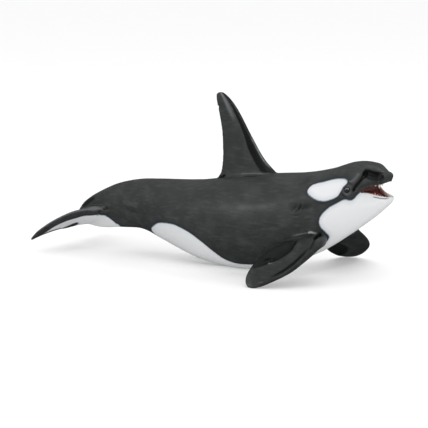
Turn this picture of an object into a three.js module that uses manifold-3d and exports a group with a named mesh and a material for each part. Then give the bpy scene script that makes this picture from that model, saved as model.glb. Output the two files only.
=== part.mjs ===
// An orca figure in painted moulded plastic, about 19 cm long, swimming with a raised head and an open mouth.
// Millimetres, +X to the snout, +Y to the figure's left, +Z up. The sizes below are in drawing coordinates:
// x = 0 at the snout, y = 0 in the middle plane, z = 0 on the floor. The group moves them in the end, so that
// the part's origin is at the bottom centre of its box.
import * as THREE from "three";
import { mergeVertices } from "three/addons/utils/BufferGeometryUtils.js";
import Module from "manifold-3d";

const wasm = await Module();
wasm.setup();

// Gap between neighbouring pieces, and the height at which everything that touches the floor is cut flat.
const GAP = 0.3;
const FLOOR = 0;
// Edge length of the blocks that stand for half spaces, well past the figure on every side.
const BLOCK_SIZE = 500;
// The figure's right and left side, as the sign of y.
const SIDES = [-1, 1];

// The body as slanted cross-sections from the tail to the snout. Each runs from a point of the belly line to
// a point of the back line, as [x, z]. half is its half width, waist the share of its height at which it is
// widest, and full the roundness, where 2 is an ellipse and more is boxier.
const BODY = [
  { belly: [-178.5, 12.0], back: [-178.0, 17.5], half: 1.2, waist: 0.5, full: 2.0 },
  { belly: [-173.0, 11.4], back: [-173.0, 23.6], half: 2.6, waist: 0.48, full: 1.9 },
  { belly: [-163.0, 10.6], back: [-163.5, 29.4], half: 3.9, waist: 0.48, full: 1.8 },
  { belly: [-149.0, 12.0], back: [-151.5, 34.8], half: 6.2, waist: 0.48, full: 1.8 },
  { belly: [-136.0, 12.4], back: [-137.0, 38.0], half: 9.4, waist: 0.48, full: 1.9 },
  { belly: [-119.0, 7.4], back: [-119.0, 39.3], half: 13.8, waist: 0.48, full: 2.0 },
  { belly: [-100.0, 1.6], back: [-101.0, 40.7], half: 17.6, waist: 0.47, full: 2.1 },
  { belly: [-78.0, -0.6], back: [-82.0, 44.4], half: 19.8, waist: 0.46, full: 2.15 },
  { belly: [-57.0, 2.6], back: [-63.0, 46.9], half: 20.0, waist: 0.45, full: 2.15 },
  { belly: [-37.0, 11.4], back: [-46.0, 48.7], half: 18.4, waist: 0.46, full: 2.15 },
  { belly: [-21.0, 21.8], back: [-31.0, 51.8], half: 15.6, waist: 0.5, full: 2.15 },
  { belly: [-10.0, 30.2], back: [-19.0, 56.0], half: 12.8, waist: 0.52, full: 2.2 },
  { belly: [-4.2, 35.2], back: [-10.2, 56.4], half: 9.5, waist: 0.52, full: 2.3 },
  { belly: [-1.2, 38.0], back: [-4.8, 54.0], half: 6.4, waist: 0.5, full: 2.4 },
  { belly: [0.0, 39.6], back: [-2.0, 52.0], half: 3.8, waist: 0.48, full: 2.4 },
  { belly: [0.5, 40.8], back: [-0.8, 50.4], half: 1.4, waist: 0.46, full: 2.4 },
];
const BODY_RINGS = 62;
const BODY_SIDES = 40;
// Above 1, the rings stand closer together towards the snout.
const RING_CROWDING = 1.25;

// Slanted cuts that part head, torso and tail: a point of the cut in the middle plane, and degrees of lean.
const NECK = { at: [-27.5, 37.0], lean: 25 };
const RUMP = { at: [-131.0, 25.0], lean: 0 };

// Mouth: the opening between the lips in the middle plane, from the corner round the front and back.
const MOUTH = [
  [-13.2, 43.3],
  [-10.5, 44.9],
  [-5.0, 47.0],
  [0.0, 49.4],
  [6.0, 52.5],
  [6.0, 40.2],
  [0.0, 41.1],
  [-6.0, 41.9],
  [-11.5, 42.7],
];
const MOUTH_HALF_WIDTH = 20;
// The two gums: the level of the lip at the snout, the tilt of its line back to the corner, on which side of
// the mouth the jaw lies, the depth of the hollow inside the lips, and a tooth's length.
const UPPER_GUM = { lip: [0.0, 49.4], tilt: 24.5, side: 1, depth: 1.8, tooth: 1.7 };
const LOWER_GUM = { lip: [0.0, 41.1], tilt: -8, side: -1, depth: 2.4, tooth: 2.0 };
// The hollow is a U seen from above: its length, its half width at the round end, how much longer than round
// that end is, how much wider the U is at its open end, and how far its front stays behind the snout.
const GUM_ARCH = { length: 19.0, half: 7.4, stretch: 1.15, flare: 1.1, front: 2.7, steps: 14 };
// Cut between the lower jaw and the head: from the corner of the mouth down and back to the throat.
const JAW_CUT = [
  [-12.6, 43.3],
  [-18.5, 20.0],
];

const TONGUE = { length: 12.6, half: 4.6, thickness: 1.9, at: [-10.9, 41.75], tilt: -8 };
// Teeth on each side of a jaw: cones rooted just outside the hollow, as far back as reach, with lengths that
// differ by the share spread.
const TEETH = {
  each: 8,
  radius: 0.68,
  tip: 0.2,
  sunk: 0.8,
  outset: 1.0,
  reach: 9.6,
  sides: 6,
  spread: 0.12,
  seed: 7,
};

// The left eye and the swollen lid round it. The right ones are mirrored.
const EYE = { at: [-16.5, 12.4, 44.8], radius: 1.3, segments: 16 };
const LID = { at: [-17.2, 11.4, 43.6], size: [4.0, 2.2, 3.8], segments: 16 };
// The short beak, an egg round the front of the upper jaw.
const BEAK = { at: [-5.8, 0, 48.8], size: [6.1, 5.2, 3.0], tilt: 24.5, segments: 20 };

// Cross-section of the fin, flippers and flukes: blunt in front, where it is thicker than the stated half
// thickness by the share front, and thinner towards the trailing edge by the share taper.
const BLADE = { sides: 18, front: 1.25, taper: 0.62 };

// Dorsal fin: its level cross-sections as [height, leading edge, trailing edge, half thickness].
const DORSAL_STEPS = 20;
const DORSAL = [
  [40.0, -54.0, -95.0, 5.2],
  [44.0, -57.5, -91.9, 4.2],
  [47.6, -61.4, -91.0, 3.2],
  [53.8, -68.0, -90.3, 2.5],
  [63.9, -74.7, -90.7, 2.1],
  [72.0, -79.5, -92.0, 1.8],
  [79.0, -84.6, -93.7, 1.4],
  [82.6, -88.4, -94.0, 1.0],
  [83.9, -90.6, -92.4, 0.5],
];

// Flippers: pairs of points on the leading and the trailing edge, from inside the chest out to the tip, which
// rests on the floor. The two differ, as the figure rows with its left one further forward.
const FLIPPERS = {
  flipper_right: [
    { lead: [-28.2, -8.5, 24.6], trail: [-38.0, -8.0, 25.0] },
    { lead: [-26.9, -16.2, 19.5], trail: [-40.5, -15.8, 21.0] },
    { lead: [-30.1, -23.1, 13.6], trail: [-45.6, -19.6, 18.4] },
    { lead: [-36.4, -30.1, 7.1], trail: [-51.0, -24.2, 14.7] },
    { lead: [-44.8, -35.8, 2.2], trail: [-54.9, -28.8, 10.3] },
    { lead: [-50.6, -38.4, 0.1], trail: [-56.3, -33.2, 6.0] },
    { lead: [-54.6, -38.1, 0.8], trail: [-56.2, -35.8, 3.2] },
  ],
  flipper_left: [
    { lead: [-26.0, 13.0, 24.0], trail: [-40.0, 13.0, 19.0] },
    { lead: [-27.2, 21.5, 19.2], trail: [-43.5, 18.0, 15.4] },
    { lead: [-27.8, 30.4, 14.5], trail: [-48.2, 26.5, 9.1] },
    { lead: [-29.0, 36.5, 11.0], trail: [-49.8, 32.6, 5.3] },
    { lead: [-31.5, 41.5, 7.4], trail: [-49.4, 38.0, 2.6] },
    { lead: [-36.4, 45.7, 3.5], trail: [-48.5, 41.9, 1.0] },
    { lead: [-41.0, 46.9, 1.2], trail: [-46.8, 45.0, 0.2] },
  ],
};
const FLIPPER_HALF_THICKNESS = { root: 2.6, tip: 0.8 };
const FLIPPER_STEPS = 18;

// Flukes: the same pairs for the right one, from inside the tail stock to the tip. The left one is mirrored.
const FLUKE = [
  { lead: [-149.0, -1.0, 19.4], trail: [-179.0, 1.0, 11.0] },
  { lead: [-161.0, -8.0, 21.3], trail: [-182.0, -5.0, 9.0] },
  { lead: [-169.0, -15.0, 20.4], trail: [-182.6, -11.0, 9.2] },
  { lead: [-176.5, -22.5, 16.2], trail: [-182.6, -18.0, 9.0] },
  { lead: [-181.5, -28.5, 11.4], trail: [-183.4, -26.0, 8.0] },
  { lead: [-183.5, -31.5, 7.6], trail: [-184.6, -31.5, 6.8] },
];
const FLUKE_HALF_THICKNESS = { root: 2.2, tip: 0.5 };
const FLUKE_STEPS = 16;

const COLOURS = {
  black: 0x2b2d2e,
  white: 0xe9ebee,
  red: 0xa8413c,
  eye: 0x120d0b,
};
const FINISH = { roughness: 0.42, metalness: 0 };

// A value of a row of numbers, smoothly interpolated, with the share t running from 0 to 1 over the row.
function along(values, t) {
  const curve = new THREE.SplineCurve(values.map((v, i) => new THREE.Vector2(i, v)));
  return curve.getPoint(t).y;
}

// A closed surface through rings of equally many points, with a fan of triangles at either end.
function loft(rings) {
  const sides = rings[0].length;
  const points = rings.flat();
  const index = [];
  const cap = (ring, start, flip) => {
    const centre = ring.reduce((sum, p) => sum.add(p), new THREE.Vector3()).divideScalar(sides);
    points.push(centre);
    for (let j = 0; j < sides; j++) {
      const a = start + j;
      const b = start + ((j + 1) % sides);
      index.push(points.length - 1, flip ? b : a, flip ? a : b);
    }
  };
  for (let i = 0; i < rings.length - 1; i++) {
    for (let j = 0; j < sides; j++) {
      const k = (j + 1) % sides;
      const [a, b] = [i * sides + j, i * sides + k];
      const [d, c] = [a + sides, b + sides];
      index.push(a, d, b, b, d, c);
    }
  }
  cap(rings[0], 0, false);
  cap(rings[rings.length - 1], (rings.length - 1) * sides, true);
  const geometry = new THREE.BufferGeometry().setFromPoints(points);
  geometry.setIndex(index);
  return geometry;
}

// A geometry as a solid, turned the right way out.
function solidOf(geometry) {
  const bare = geometry.clone();
  bare.deleteAttribute("normal");
  bare.deleteAttribute("uv");
  const merged = mergeVertices(bare, 1e-4);
  const make = (index) =>
    new wasm.Manifold(
      new wasm.Mesh({
        numProp: 3,
        vertProperties: new Float32Array(merged.attributes.position.array),
        triVerts: new Uint32Array(index),
      }),
    );
  const made = make(merged.index.array);
  return made.volume() > 0 ? made : make(Array.from(merged.index.array).reverse());
}

// The largest closed body of a solid.
function largest(solid) {
  return solid.decompose().reduce((a, b) => (a.volume() > b.volume() ? a : b));
}

// A solid's mesh as a named node of the model.
function nodeOf(name, solid, colour) {
  const mesh = largest(solid).getMesh();
  const geometry = new THREE.BufferGeometry();
  geometry.setAttribute("position", new THREE.BufferAttribute(mesh.vertProperties, 3));
  geometry.setIndex(new THREE.BufferAttribute(mesh.triVerts, 1));
  geometry.computeVertexNormals();
  const node = new THREE.Mesh(geometry, new THREE.MeshStandardMaterial({ color: colour, ...FINISH }));
  node.name = name;
  return node;
}

// A power that keeps the sign of its base.
function power(value, exponent) {
  return Math.sign(value) * Math.abs(value) ** exponent;
}

// One ring of the body, at the share t from tail to snout, grown outwards by a margin.
function bodyRing(t, grow) {
  const pick = (read) => along(BODY.map(read), t);
  const belly = new THREE.Vector3(pick((s) => s.belly[0]), 0, pick((s) => s.belly[1]));
  const back = new THREE.Vector3(pick((s) => s.back[0]), 0, pick((s) => s.back[1]));
  const up = back.clone().sub(belly);
  const height = up.length();
  up.normalize();
  const waist = pick((s) => s.waist) * height;
  const middle = belly.clone().addScaledVector(up, waist);
  const half = pick((s) => s.half) + grow;
  const exponent = 2 / pick((s) => s.full);
  return Array.from({ length: BODY_SIDES }, (_, j) => {
    const angle = (j / BODY_SIDES) * 2 * Math.PI;
    const rise = power(Math.cos(angle), exponent);
    const reach = rise > 0 ? height - waist + grow : waist + grow;
    const point = middle.clone().addScaledVector(up, rise * reach);
    point.y = power(Math.sin(angle), exponent) * half;
    return point;
  });
}

// The whole body with a closed mouth, its rings closer together towards the snout.
function bodySolid(grow = 0) {
  const rings = Array.from({ length: BODY_RINGS }, (_, i) => {
    const t = i / (BODY_RINGS - 1);
    return bodyRing(1 - (1 - t) ** RING_CROWDING, grow);
  });
  return solidOf(loft(rings));
}

// The half space on the tail's side of a cut, moved forward by a shift. Its face leans back from upright.
function behind(cut, shift) {
  const half = new THREE.BoxGeometry(BLOCK_SIZE, BLOCK_SIZE, BLOCK_SIZE);
  half.translate(-BLOCK_SIZE / 2 + shift, 0, 0);
  half.rotateY(THREE.MathUtils.degToRad(-cut.lean));
  half.translate(cut.at[0], 0, cut.at[1]);
  return solidOf(half);
}

// A prism across the whole figure over an outline in the middle plane.
function acrossPrism(outline, half) {
  const shape = new THREE.Shape(outline.map(([x, z]) => new THREE.Vector2(x, z)));
  const prism = new THREE.ExtrudeGeometry(shape, { depth: 2 * half, bevelEnabled: false });
  prism.translate(0, 0, -half);
  prism.rotateX(Math.PI / 2);
  return solidOf(prism);
}

// The outline of a thin straight cut between two points of the middle plane.
function slit([[x0, z0], [x1, z1]], width) {
  const length = Math.hypot(x1 - x0, z1 - z0);
  const [nx, nz] = [((z1 - z0) / length) * (width / 2), (-(x1 - x0) / length) * (width / 2)];
  return [[x0 + nx, z0 + nz], [x1 + nx, z1 + nz], [x1 - nx, z1 - nz], [x0 - nx, z0 - nz]];
}

// The U of a jaw seen from above, with its round end forward: points from one side round to the other.
function jawArch(length, half) {
  const { stretch, flare, steps } = GUM_ARCH;
  const arch = Array.from({ length: steps + 1 }, (_, i) => {
    const angle = (i / steps - 0.5) * Math.PI;
    return new THREE.Vector2(-half * stretch * (1 - Math.cos(angle)), half * Math.sin(angle));
  });
  return [new THREE.Vector2(-length, -half * flare), ...arch, new THREE.Vector2(-length, half * flare)];
}

// A geometry drawn with its origin at the lip of a gum and its x axis along the lip line, set in its place.
function onGum(geometry, { lip, tilt }) {
  return solidOf(geometry.rotateY(THREE.MathUtils.degToRad(-tilt)).translate(lip[0], 0, lip[1]));
}

// The hollow inside the lips of a jaw.
function gumHollow(gum) {
  const { length, half, front } = GUM_ARCH;
  const shape = new THREE.Shape(jawArch(length, half));
  const hollow = new THREE.ExtrudeGeometry(shape, { depth: gum.depth + 1, bevelEnabled: false });
  hollow.translate(-front, 0, gum.side > 0 ? -1 : -gum.depth);
  return onGum(hollow, gum);
}

// Repeatable draws between -1 and 1.
function drawsFrom(seed) {
  let state = seed;
  return () => {
    state = (state * 16807) % 2147483647;
    return (state / 2147483647) * 2 - 1;
  };
}

// One row of conical teeth round the gum of a jaw, each sunk into it and of a slightly different length.
function teeth(gum, draw) {
  const { half, front } = GUM_ARCH;
  const row = new THREE.SplineCurve(jawArch(TEETH.reach, half + TEETH.outset));
  const count = 2 * TEETH.each;
  const cones = Array.from({ length: count }, (_, i) => {
    const place = row.getPointAt((i + 0.5) / count);
    const length = gum.tooth * (1 + TEETH.spread * draw());
    const cone = new THREE.CylinderGeometry(TEETH.tip, TEETH.radius, length, TEETH.sides, 1);
    cone.rotateX((-gum.side * Math.PI) / 2);
    cone.translate(place.x - front + TEETH.outset, place.y, -gum.side * (length / 2 - TEETH.sunk));
    return onGum(cone, gum);
  });
  return cones.reduce((all, cone) => all.add(cone));
}

// The tongue, a flat rounded pad on the floor of the mouth.
function tongue() {
  const pad = new THREE.SphereGeometry(1, 20, 12);
  pad.scale(TONGUE.length / 2, TONGUE.half, TONGUE.thickness / 2);
  pad.rotateY(THREE.MathUtils.degToRad(-TONGUE.tilt));
  pad.translate(TONGUE.at[0], 0, TONGUE.at[1]);
  return solidOf(pad);
}

// A ball or an egg at a place, on the right for side -1 and on the left for side 1, tilted nose up.
function egg([x, y, z], [rx, ry, rz], side, segments, tilt = 0) {
  const ball = new THREE.SphereGeometry(1, segments, segments / 2);
  ball.scale(rx, ry, rz);
  ball.rotateY(THREE.MathUtils.degToRad(-tilt));
  ball.translate(x, side * y, z);
  return solidOf(ball);
}

// Points round a blade's cross-section: as [share of the chord, share of the half thickness].
function bladeSection() {
  return Array.from({ length: BLADE.sides }, (_, j) => {
    const angle = (j / BLADE.sides) * 2 * Math.PI;
    const chord = 0.5 - 0.5 * Math.cos(angle);
    return [chord, Math.sin(angle) * (BLADE.front - BLADE.taper * chord)];
  });
}

// The dorsal fin, from inside the back up to its tip.
function dorsalFin() {
  const section = bladeSection();
  const rings = Array.from({ length: DORSAL_STEPS + 1 }, (_, i) => {
    const read = (k) => along(DORSAL.map((row) => row[k]), i / DORSAL_STEPS);
    const [z, lead, trail, thick] = [0, 1, 2, 3].map(read);
    return section.map(([c, n]) => new THREE.Vector3(lead + (trail - lead) * c, -n * thick, z));
  });
  return solidOf(loft(rings));
}

// A blade between two edges, given as pairs of points, with its half thickness from the root to the tip.
// side is -1 to build it as given, on the right, and 1 to mirror it to the left.
function blade(pairs, thickness, steps, side = -1) {
  const read = (name, t) => [0, 1, 2].map((k) => along(pairs.map((p) => p[name][k]), t));
  const edge = (name, t) => new THREE.Vector3(...read(name, t));
  const section = bladeSection();
  const near = 1 / (3 * steps);
  const rings = Array.from({ length: steps + 1 }, (_, i) => {
    const t = i / steps;
    const lead = edge("lead", t);
    const trail = edge("trail", t);
    const ahead = edge("lead", Math.min(1, t + near)).sub(edge("lead", Math.max(0, t - near)));
    const normal = trail.clone().sub(lead).cross(ahead).normalize();
    const thick = THREE.MathUtils.lerp(thickness.root, thickness.tip, t);
    return section.map(([c, n]) => {
      const point = lead.clone().lerp(trail, c).addScaledVector(normal, n * thick);
      point.y *= -side;
      return point;
    });
  });
  return solidOf(loft(rings));
}

// A plain block of the given size round its centre.
function block(size, centre) {
  return solidOf(new THREE.BoxGeometry(...size).translate(...centre));
}

// A ball round an eye's place, as the eye itself or, a little larger, its socket.
function eyeBall(side, radius) {
  return egg(EYE.at, [radius, radius, radius], side, EYE.segments);
}

// The head with its open mouth, lids and beak, before the cut that parts off the lower jaw.
function headWithMouth() {
  const lids = SIDES.map((side) => egg(LID.at, LID.size, side, LID.segments));
  const sockets = SIDES.map((side) => eyeBall(side, EYE.radius + GAP));
  return body
    .subtract(behind(NECK, GAP / 2))
    .add(lids[0])
    .add(lids[1])
    .add(egg(BEAK.at, BEAK.size, 1, BEAK.segments, BEAK.tilt))
    .subtract(acrossPrism(MOUTH, MOUTH_HALF_WIDTH))
    .subtract(gumHollow(UPPER_GUM))
    .subtract(gumHollow(LOWER_GUM))
    .subtract(sockets[0])
    .subtract(sockets[1]);
}

const ground = block([BLOCK_SIZE, BLOCK_SIZE, BLOCK_SIZE], [0, 0, FLOOR - BLOCK_SIZE / 2]);
const middle = block([2 * BLOCK_SIZE, GAP, BLOCK_SIZE], [0, 0, 0]);
const body = bodySolid();
const grownBody = bodySolid(GAP);
const draw = drawsFrom(TEETH.seed);

// The cut through the cheeks leaves two bodies, the skull and the lower jaw.
const [skull, jaw] = headWithMouth()
  .subtract(acrossPrism(slit(JAW_CUT, GAP), MOUTH_HALF_WIDTH))
  .decompose()
  .sort((a, b) => b.volume() - a.volume());
const torso = body
  .subtract(ground)
  .intersect(behind(NECK, -GAP / 2))
  .subtract(behind(RUMP, GAP / 2));

const figure = new THREE.Group();
figure.add(nodeOf("head", skull.add(teeth(UPPER_GUM, draw)), COLOURS.black));
figure.add(nodeOf("lower_jaw", jaw.add(teeth(LOWER_GUM, draw)), COLOURS.white));
figure.add(nodeOf("tongue", tongue(), COLOURS.red));
figure.add(nodeOf("torso", torso, COLOURS.black));
figure.add(nodeOf("tail_stock", body.intersect(behind(RUMP, -GAP / 2)), COLOURS.black));
figure.add(nodeOf("dorsal_fin", dorsalFin().subtract(grownBody), COLOURS.black));
for (const [name, pairs] of Object.entries(FLIPPERS)) {
  const paddle = blade(pairs, FLIPPER_HALF_THICKNESS, FLIPPER_STEPS);
  figure.add(nodeOf(name, paddle.subtract(grownBody).subtract(ground), COLOURS.black));
}
for (const side of SIDES) {
  const name = side < 0 ? "right" : "left";
  const lobe = blade(FLUKE, FLUKE_HALF_THICKNESS, FLUKE_STEPS, side);
  figure.add(nodeOf(`fluke_${name}`, lobe.subtract(grownBody).subtract(middle), COLOURS.black));
  figure.add(nodeOf(`eye_${name}`, eyeBall(side, EYE.radius), COLOURS.eye));
}

const box = new THREE.Box3().setFromObject(figure);
const centre = box.getCenter(new THREE.Vector3());
figure.children.forEach((node) => node.position.set(-centre.x, -centre.y, -FLOOR));

export default figure;
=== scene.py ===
"""A painted moulded toy orca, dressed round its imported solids.

Sizes are millimetres in the figure's drawing coordinates: x is 0 at the snout and falls towards the tail, y
is 0 in the middle plane and grows to the figure's left, and z is 0 on the floor. Placement turns them into
the frame's metres.
"""

import logging
import math
from dataclasses import dataclass
from enum import Enum
from typing import NamedTuple

import bpy
import numpy as np
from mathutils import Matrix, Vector, noise
from mathutils.bvhtree import BVHTree


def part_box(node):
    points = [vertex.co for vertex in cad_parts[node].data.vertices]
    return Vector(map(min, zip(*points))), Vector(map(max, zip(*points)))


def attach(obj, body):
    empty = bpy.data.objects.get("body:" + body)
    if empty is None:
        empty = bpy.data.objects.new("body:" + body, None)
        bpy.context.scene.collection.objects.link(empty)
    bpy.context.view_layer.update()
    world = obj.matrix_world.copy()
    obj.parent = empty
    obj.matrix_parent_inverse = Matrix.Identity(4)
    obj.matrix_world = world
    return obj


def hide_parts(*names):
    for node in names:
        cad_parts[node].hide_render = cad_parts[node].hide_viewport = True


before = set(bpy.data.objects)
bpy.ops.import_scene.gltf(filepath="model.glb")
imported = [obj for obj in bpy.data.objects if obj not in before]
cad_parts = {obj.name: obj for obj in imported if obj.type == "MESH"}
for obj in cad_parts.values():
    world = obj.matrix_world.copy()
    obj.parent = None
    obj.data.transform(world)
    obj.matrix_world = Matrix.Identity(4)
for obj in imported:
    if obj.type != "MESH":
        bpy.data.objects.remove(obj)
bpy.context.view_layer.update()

Array = np.ndarray
Point = tuple[float, float, float]
Flat = tuple[float, float]
Colour = tuple[float, float, float]

LOG = logging.getLogger("orca")
MM = 0.001
TINY = 1e-12


class Side(Enum):
    """The figure's two sides, as the sign of y."""

    RIGHT = -1
    LEFT = 1


class Form(Enum):
    """The forms that the skin is made of."""

    BODY = 0
    FIN = 1
    FLIPPER_RIGHT = 2
    FLIPPER_LEFT = 3
    FLUKE_RIGHT = 4
    FLUKE_LEFT = 5


LIMBS = tuple(Form)[1:]
FLIPPERS = (Form.FLIPPER_RIGHT, Form.FLIPPER_LEFT)
FLUKES = (Form.FLUKE_RIGHT, Form.FLUKE_LEFT)


class Slot(Enum):
    """The record's material slots."""

    BLACK = "black_paint"
    WHITE = "white_paint"
    RED = "mouth_red"
    EYE = "eye_gloss"


class Change(Enum):
    """How one solid changes another."""

    ADD = "UNION"
    CUT_AWAY = "DIFFERENCE"
    KEEP_SHARED = "INTERSECT"


def along(values: Array, share: Array) -> Array:
    """Reads rows of values smoothly, with the row number running evenly from first to last.

    Args:
        values: The rows, one for each station.
        share: Where to read, from 0 at the first row to 1 at the last.

    Returns:
        One row for each share.
    """
    values = np.asarray(values, float)
    last = len(values) - 1
    place = last * np.asarray(share, float)
    index = np.clip(np.floor(place).astype(int), 0, last)
    before, here = values[np.maximum(index - 1, 0)], values[index]
    after, beyond = values[np.minimum(index + 1, last)], values[np.minimum(index + 2, last)]
    w = (place - index).reshape(place.shape + (1,) * (values.ndim - 1))
    leaving, arriving = (after - before) / 2, (beyond - here) / 2
    cubic = 2 * here - 2 * after + leaving + arriving
    square = 3 * after - 3 * here - 2 * leaving - arriving
    return cubic * w**3 + square * w**2 + leaving * w + here


def powered(values: Array, exponent: Array) -> Array:
    """Raises values to a power and keeps their sign."""
    return np.sign(values) * np.abs(values) ** exponent


def bell(distance: Array, width: float) -> Array:
    """Falls smoothly from 1 to about 0 over twice the width."""
    return np.exp(-((distance / width) ** 2))


def smooth_step(values: Array, low: float, high: float) -> Array:
    """Rises smoothly from 0 at low to 1 at high."""
    t = np.clip((values - low) / (high - low), 0, 1)
    return t * t * (3 - 2 * t)


class Ramp(NamedTuple):
    """A smooth rise from 0 at one number to 1 at another, which may be the smaller one."""

    start: float
    end: float

    def of(self, values: Array) -> Array:
        """Gives how far each value has risen."""
        return smooth_step(values, self.start, self.end)


class Placement:
    """Turns drawing millimetres into the frame's metres and back."""

    def __init__(self, eye: Point) -> None:
        """Finds the shift from where the frame holds the eyes.

        Args:
            eye: The left eye's place in the drawing.
        """
        corners = [corner for side in ("right", "left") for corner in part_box(f"eye_{side}")]
        middle = sum(corners, Vector()) / len(corners)
        self.shift = np.array(middle) - np.array((eye[0], 0, eye[2])) * MM

    def metres(self, points: Array) -> Array:
        """Gives drawing points in the frame."""
        return np.asarray(points, float) * MM + self.shift

    def vector(self, point: Point) -> Vector:
        """Gives one drawing point in the frame as a vector."""
        return Vector(self.metres(np.array(point)))


def mesh_object(name: str, points: Array, faces: list) -> bpy.types.Object:
    """Makes an object of a mesh.

    Args:
        name: The name of the object and of its mesh.
        points: The places of the vertices.
        faces: The vertex numbers of each face.

    Returns:
        The object, linked to the scene.
    """
    mesh = bpy.data.meshes.new(name)
    mesh.from_pydata(np.asarray(points, float).tolist(), [], faces)
    mesh.update()
    made = bpy.data.objects.new(name, mesh)
    bpy.context.scene.collection.objects.link(made)
    return made


def apply_modifiers(target: bpy.types.Object) -> None:
    """Turns an object's modifiers into its mesh.

    Args:
        target: The object.
    """
    graph = bpy.context.evaluated_depsgraph_get()
    mesh = bpy.data.meshes.new_from_object(target.evaluated_get(graph))
    target.modifiers.clear()
    target.data = mesh


def combine(target: bpy.types.Object, other: bpy.types.Object, change: Change) -> None:
    """Joins or cuts a solid with another one, which is used up.

    Args:
        target: The solid that changes.
        other: The solid that it is combined with.
        change: How it changes.
    """
    step = target.modifiers.new("combine", "BOOLEAN")
    step.operation = change.value
    step.solver = "MANIFOLD"
    step.object = other
    apply_modifiers(target)
    bpy.data.objects.remove(other)


def ring_faces(rings: int, sides: int) -> list:
    """Lists the four-sided faces between neighbouring closed rings of points.

    Args:
        rings: How many rings there are.
        sides: How many points each ring has.

    Returns:
        The vertex numbers of each face, ring after ring.
    """
    index = np.arange(rings * sides).reshape(rings, sides)
    after = np.roll(index, -1, axis=1)
    corners = np.stack([index[:-1], index[1:], after[1:], after[:-1]], -1)
    return corners.reshape(-1, 4).tolist()


def closed_faces(rings: int, sides: int) -> list:
    """Lists the faces of a closed form of rings, with two more points that close its first and its last ring.

    Args:
        rings: How many rings there are.
        sides: How many points each ring has.

    Returns:
        The vertex numbers of the faces between the rings and of the fan over either end.
    """
    faces = ring_faces(rings, sides)
    last = (rings - 1) * sides
    for j in range(sides):
        k = (j + 1) % sides
        faces += [[rings * sides, j, k], [rings * sides + 1, last + k, last + j]]
    return faces


class Surface:
    """A closed surface of rings of points, which knows the coordinates drawn on it."""

    def __init__(self, points: Array, chart: Array) -> None:
        """Keeps the rings.

        Args:
            points: The rings, as rings by sides by 3.
            chart: The drawn coordinates of each point, as rings by sides by any number.
        """
        self.points = points
        self.chart = chart
        self.tree = BVHTree.FromPolygons(points.reshape(-1, 3).tolist(), ring_faces(*points.shape[:2]))
        a, b, c = points[:-1, :], points[1:, :], np.roll(points, -1, axis=1)[:-1, :]
        middle = points.mean((0, 1))
        self.turn = np.sign((np.cross(b - a, c - a) * (a - middle)).sum())

    def solid(self, name: str) -> bpy.types.Object:
        """Makes the closed solid, with a fan of triangles over either end.

        Args:
            name: The name of the object.

        Returns:
            The solid.
        """
        centres = [self.points[0].mean(0), self.points[-1].mean(0)]
        points = np.vstack([self.points.reshape(-1, 3), centres])
        return outward(mesh_object(name, points, closed_faces(*self.points.shape[:2])))

    def box(self, margin: float) -> tuple[Array, Array]:
        """Gives the lowest and the highest corner, moved out by a margin."""
        flat = self.points.reshape(-1, 3)
        return flat.min(0) - margin, flat.max(0) + margin

    def read(self, points: Array, reach: float) -> tuple[Array, Array]:
        """Finds the nearest place on the surface to each point.

        Args:
            points: The points.
            reach: How far from the surface's box a point may be. Points further off get that distance.

        Returns:
            The distances, negative inside, and the drawn coordinates of the nearest places.
        """
        low, high = self.box(reach)
        near = np.flatnonzero(((points > low) & (points < high)).all(1))
        distance = np.full(len(points), reach)
        values = np.zeros((len(points), self.chart.shape[2]))
        found = [self.tree.find_nearest(p) for p in points[near].tolist()]
        spots = np.array([f[0] for f in found])
        normals = np.array([f[1] for f in found])
        face = np.array([f[2] for f in found])
        outside = ((points[near] - spots) * normals).sum(1) * self.turn >= 0
        distance[near] = np.array([f[3] for f in found]) * np.where(outside, 1, -1)
        sides = self.points.shape[1]
        i, j = np.divmod(face, sides)
        k = (j + 1) % sides
        start, right, down = self.points[i, j], self.points[i, k], self.points[i + 1, j]
        u = share_between(spots, start, right)[:, None]
        v = share_between(spots, start, down)[:, None]
        upper = self.chart[i, j] * (1 - u) + self.chart[i, k] * u
        lower = self.chart[i + 1, j] * (1 - u) + self.chart[i + 1, k] * u
        values[near] = upper * (1 - v) + lower * v
        return distance, values


def share_between(spots: Array, start: Array, end: Array) -> Array:
    """Gives how far each spot lies along its own line.

    Args:
        spots: The spots.
        start: Where each line starts.
        end: Where it ends.

    Returns:
        The shares of the lines, from 0 to 1.
    """
    line = end - start
    length = np.maximum((line * line).sum(1), TINY)
    return np.clip(((spots - start) * line).sum(1) / length, 0, 1)


def outward(solid: bpy.types.Object) -> bpy.types.Object:
    """Turns a closed solid's faces the right way out.

    Args:
        solid: The solid.

    Returns:
        The same solid.
    """
    mesh = solid.data
    mesh.calc_loop_triangles()
    places = numbers(mesh.vertices, "co", 3)
    corners = numbers(mesh.loop_triangles, "vertices", 3, np.int32)
    a, b, c = (places[corners[:, k]] for k in range(3))
    if (np.cross(a, b) * c).sum() < 0:
        mesh.flip_normals()
    return solid


def numbers(items: bpy.types.bpy_prop_collection, name: str, width: int, kind: type = np.float32) -> Array:
    """Reads a property of all of a mesh's elements into an array.

    Args:
        items: The mesh's vertices, edges or triangles.
        name: The property.
        width: How many numbers each element has.
        kind: The kind of number.

    Returns:
        An array with a row for each element.
    """
    found = np.empty(len(items) * width, kind)
    items.foreach_get(name, found)
    return found.reshape(-1, width)


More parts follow.
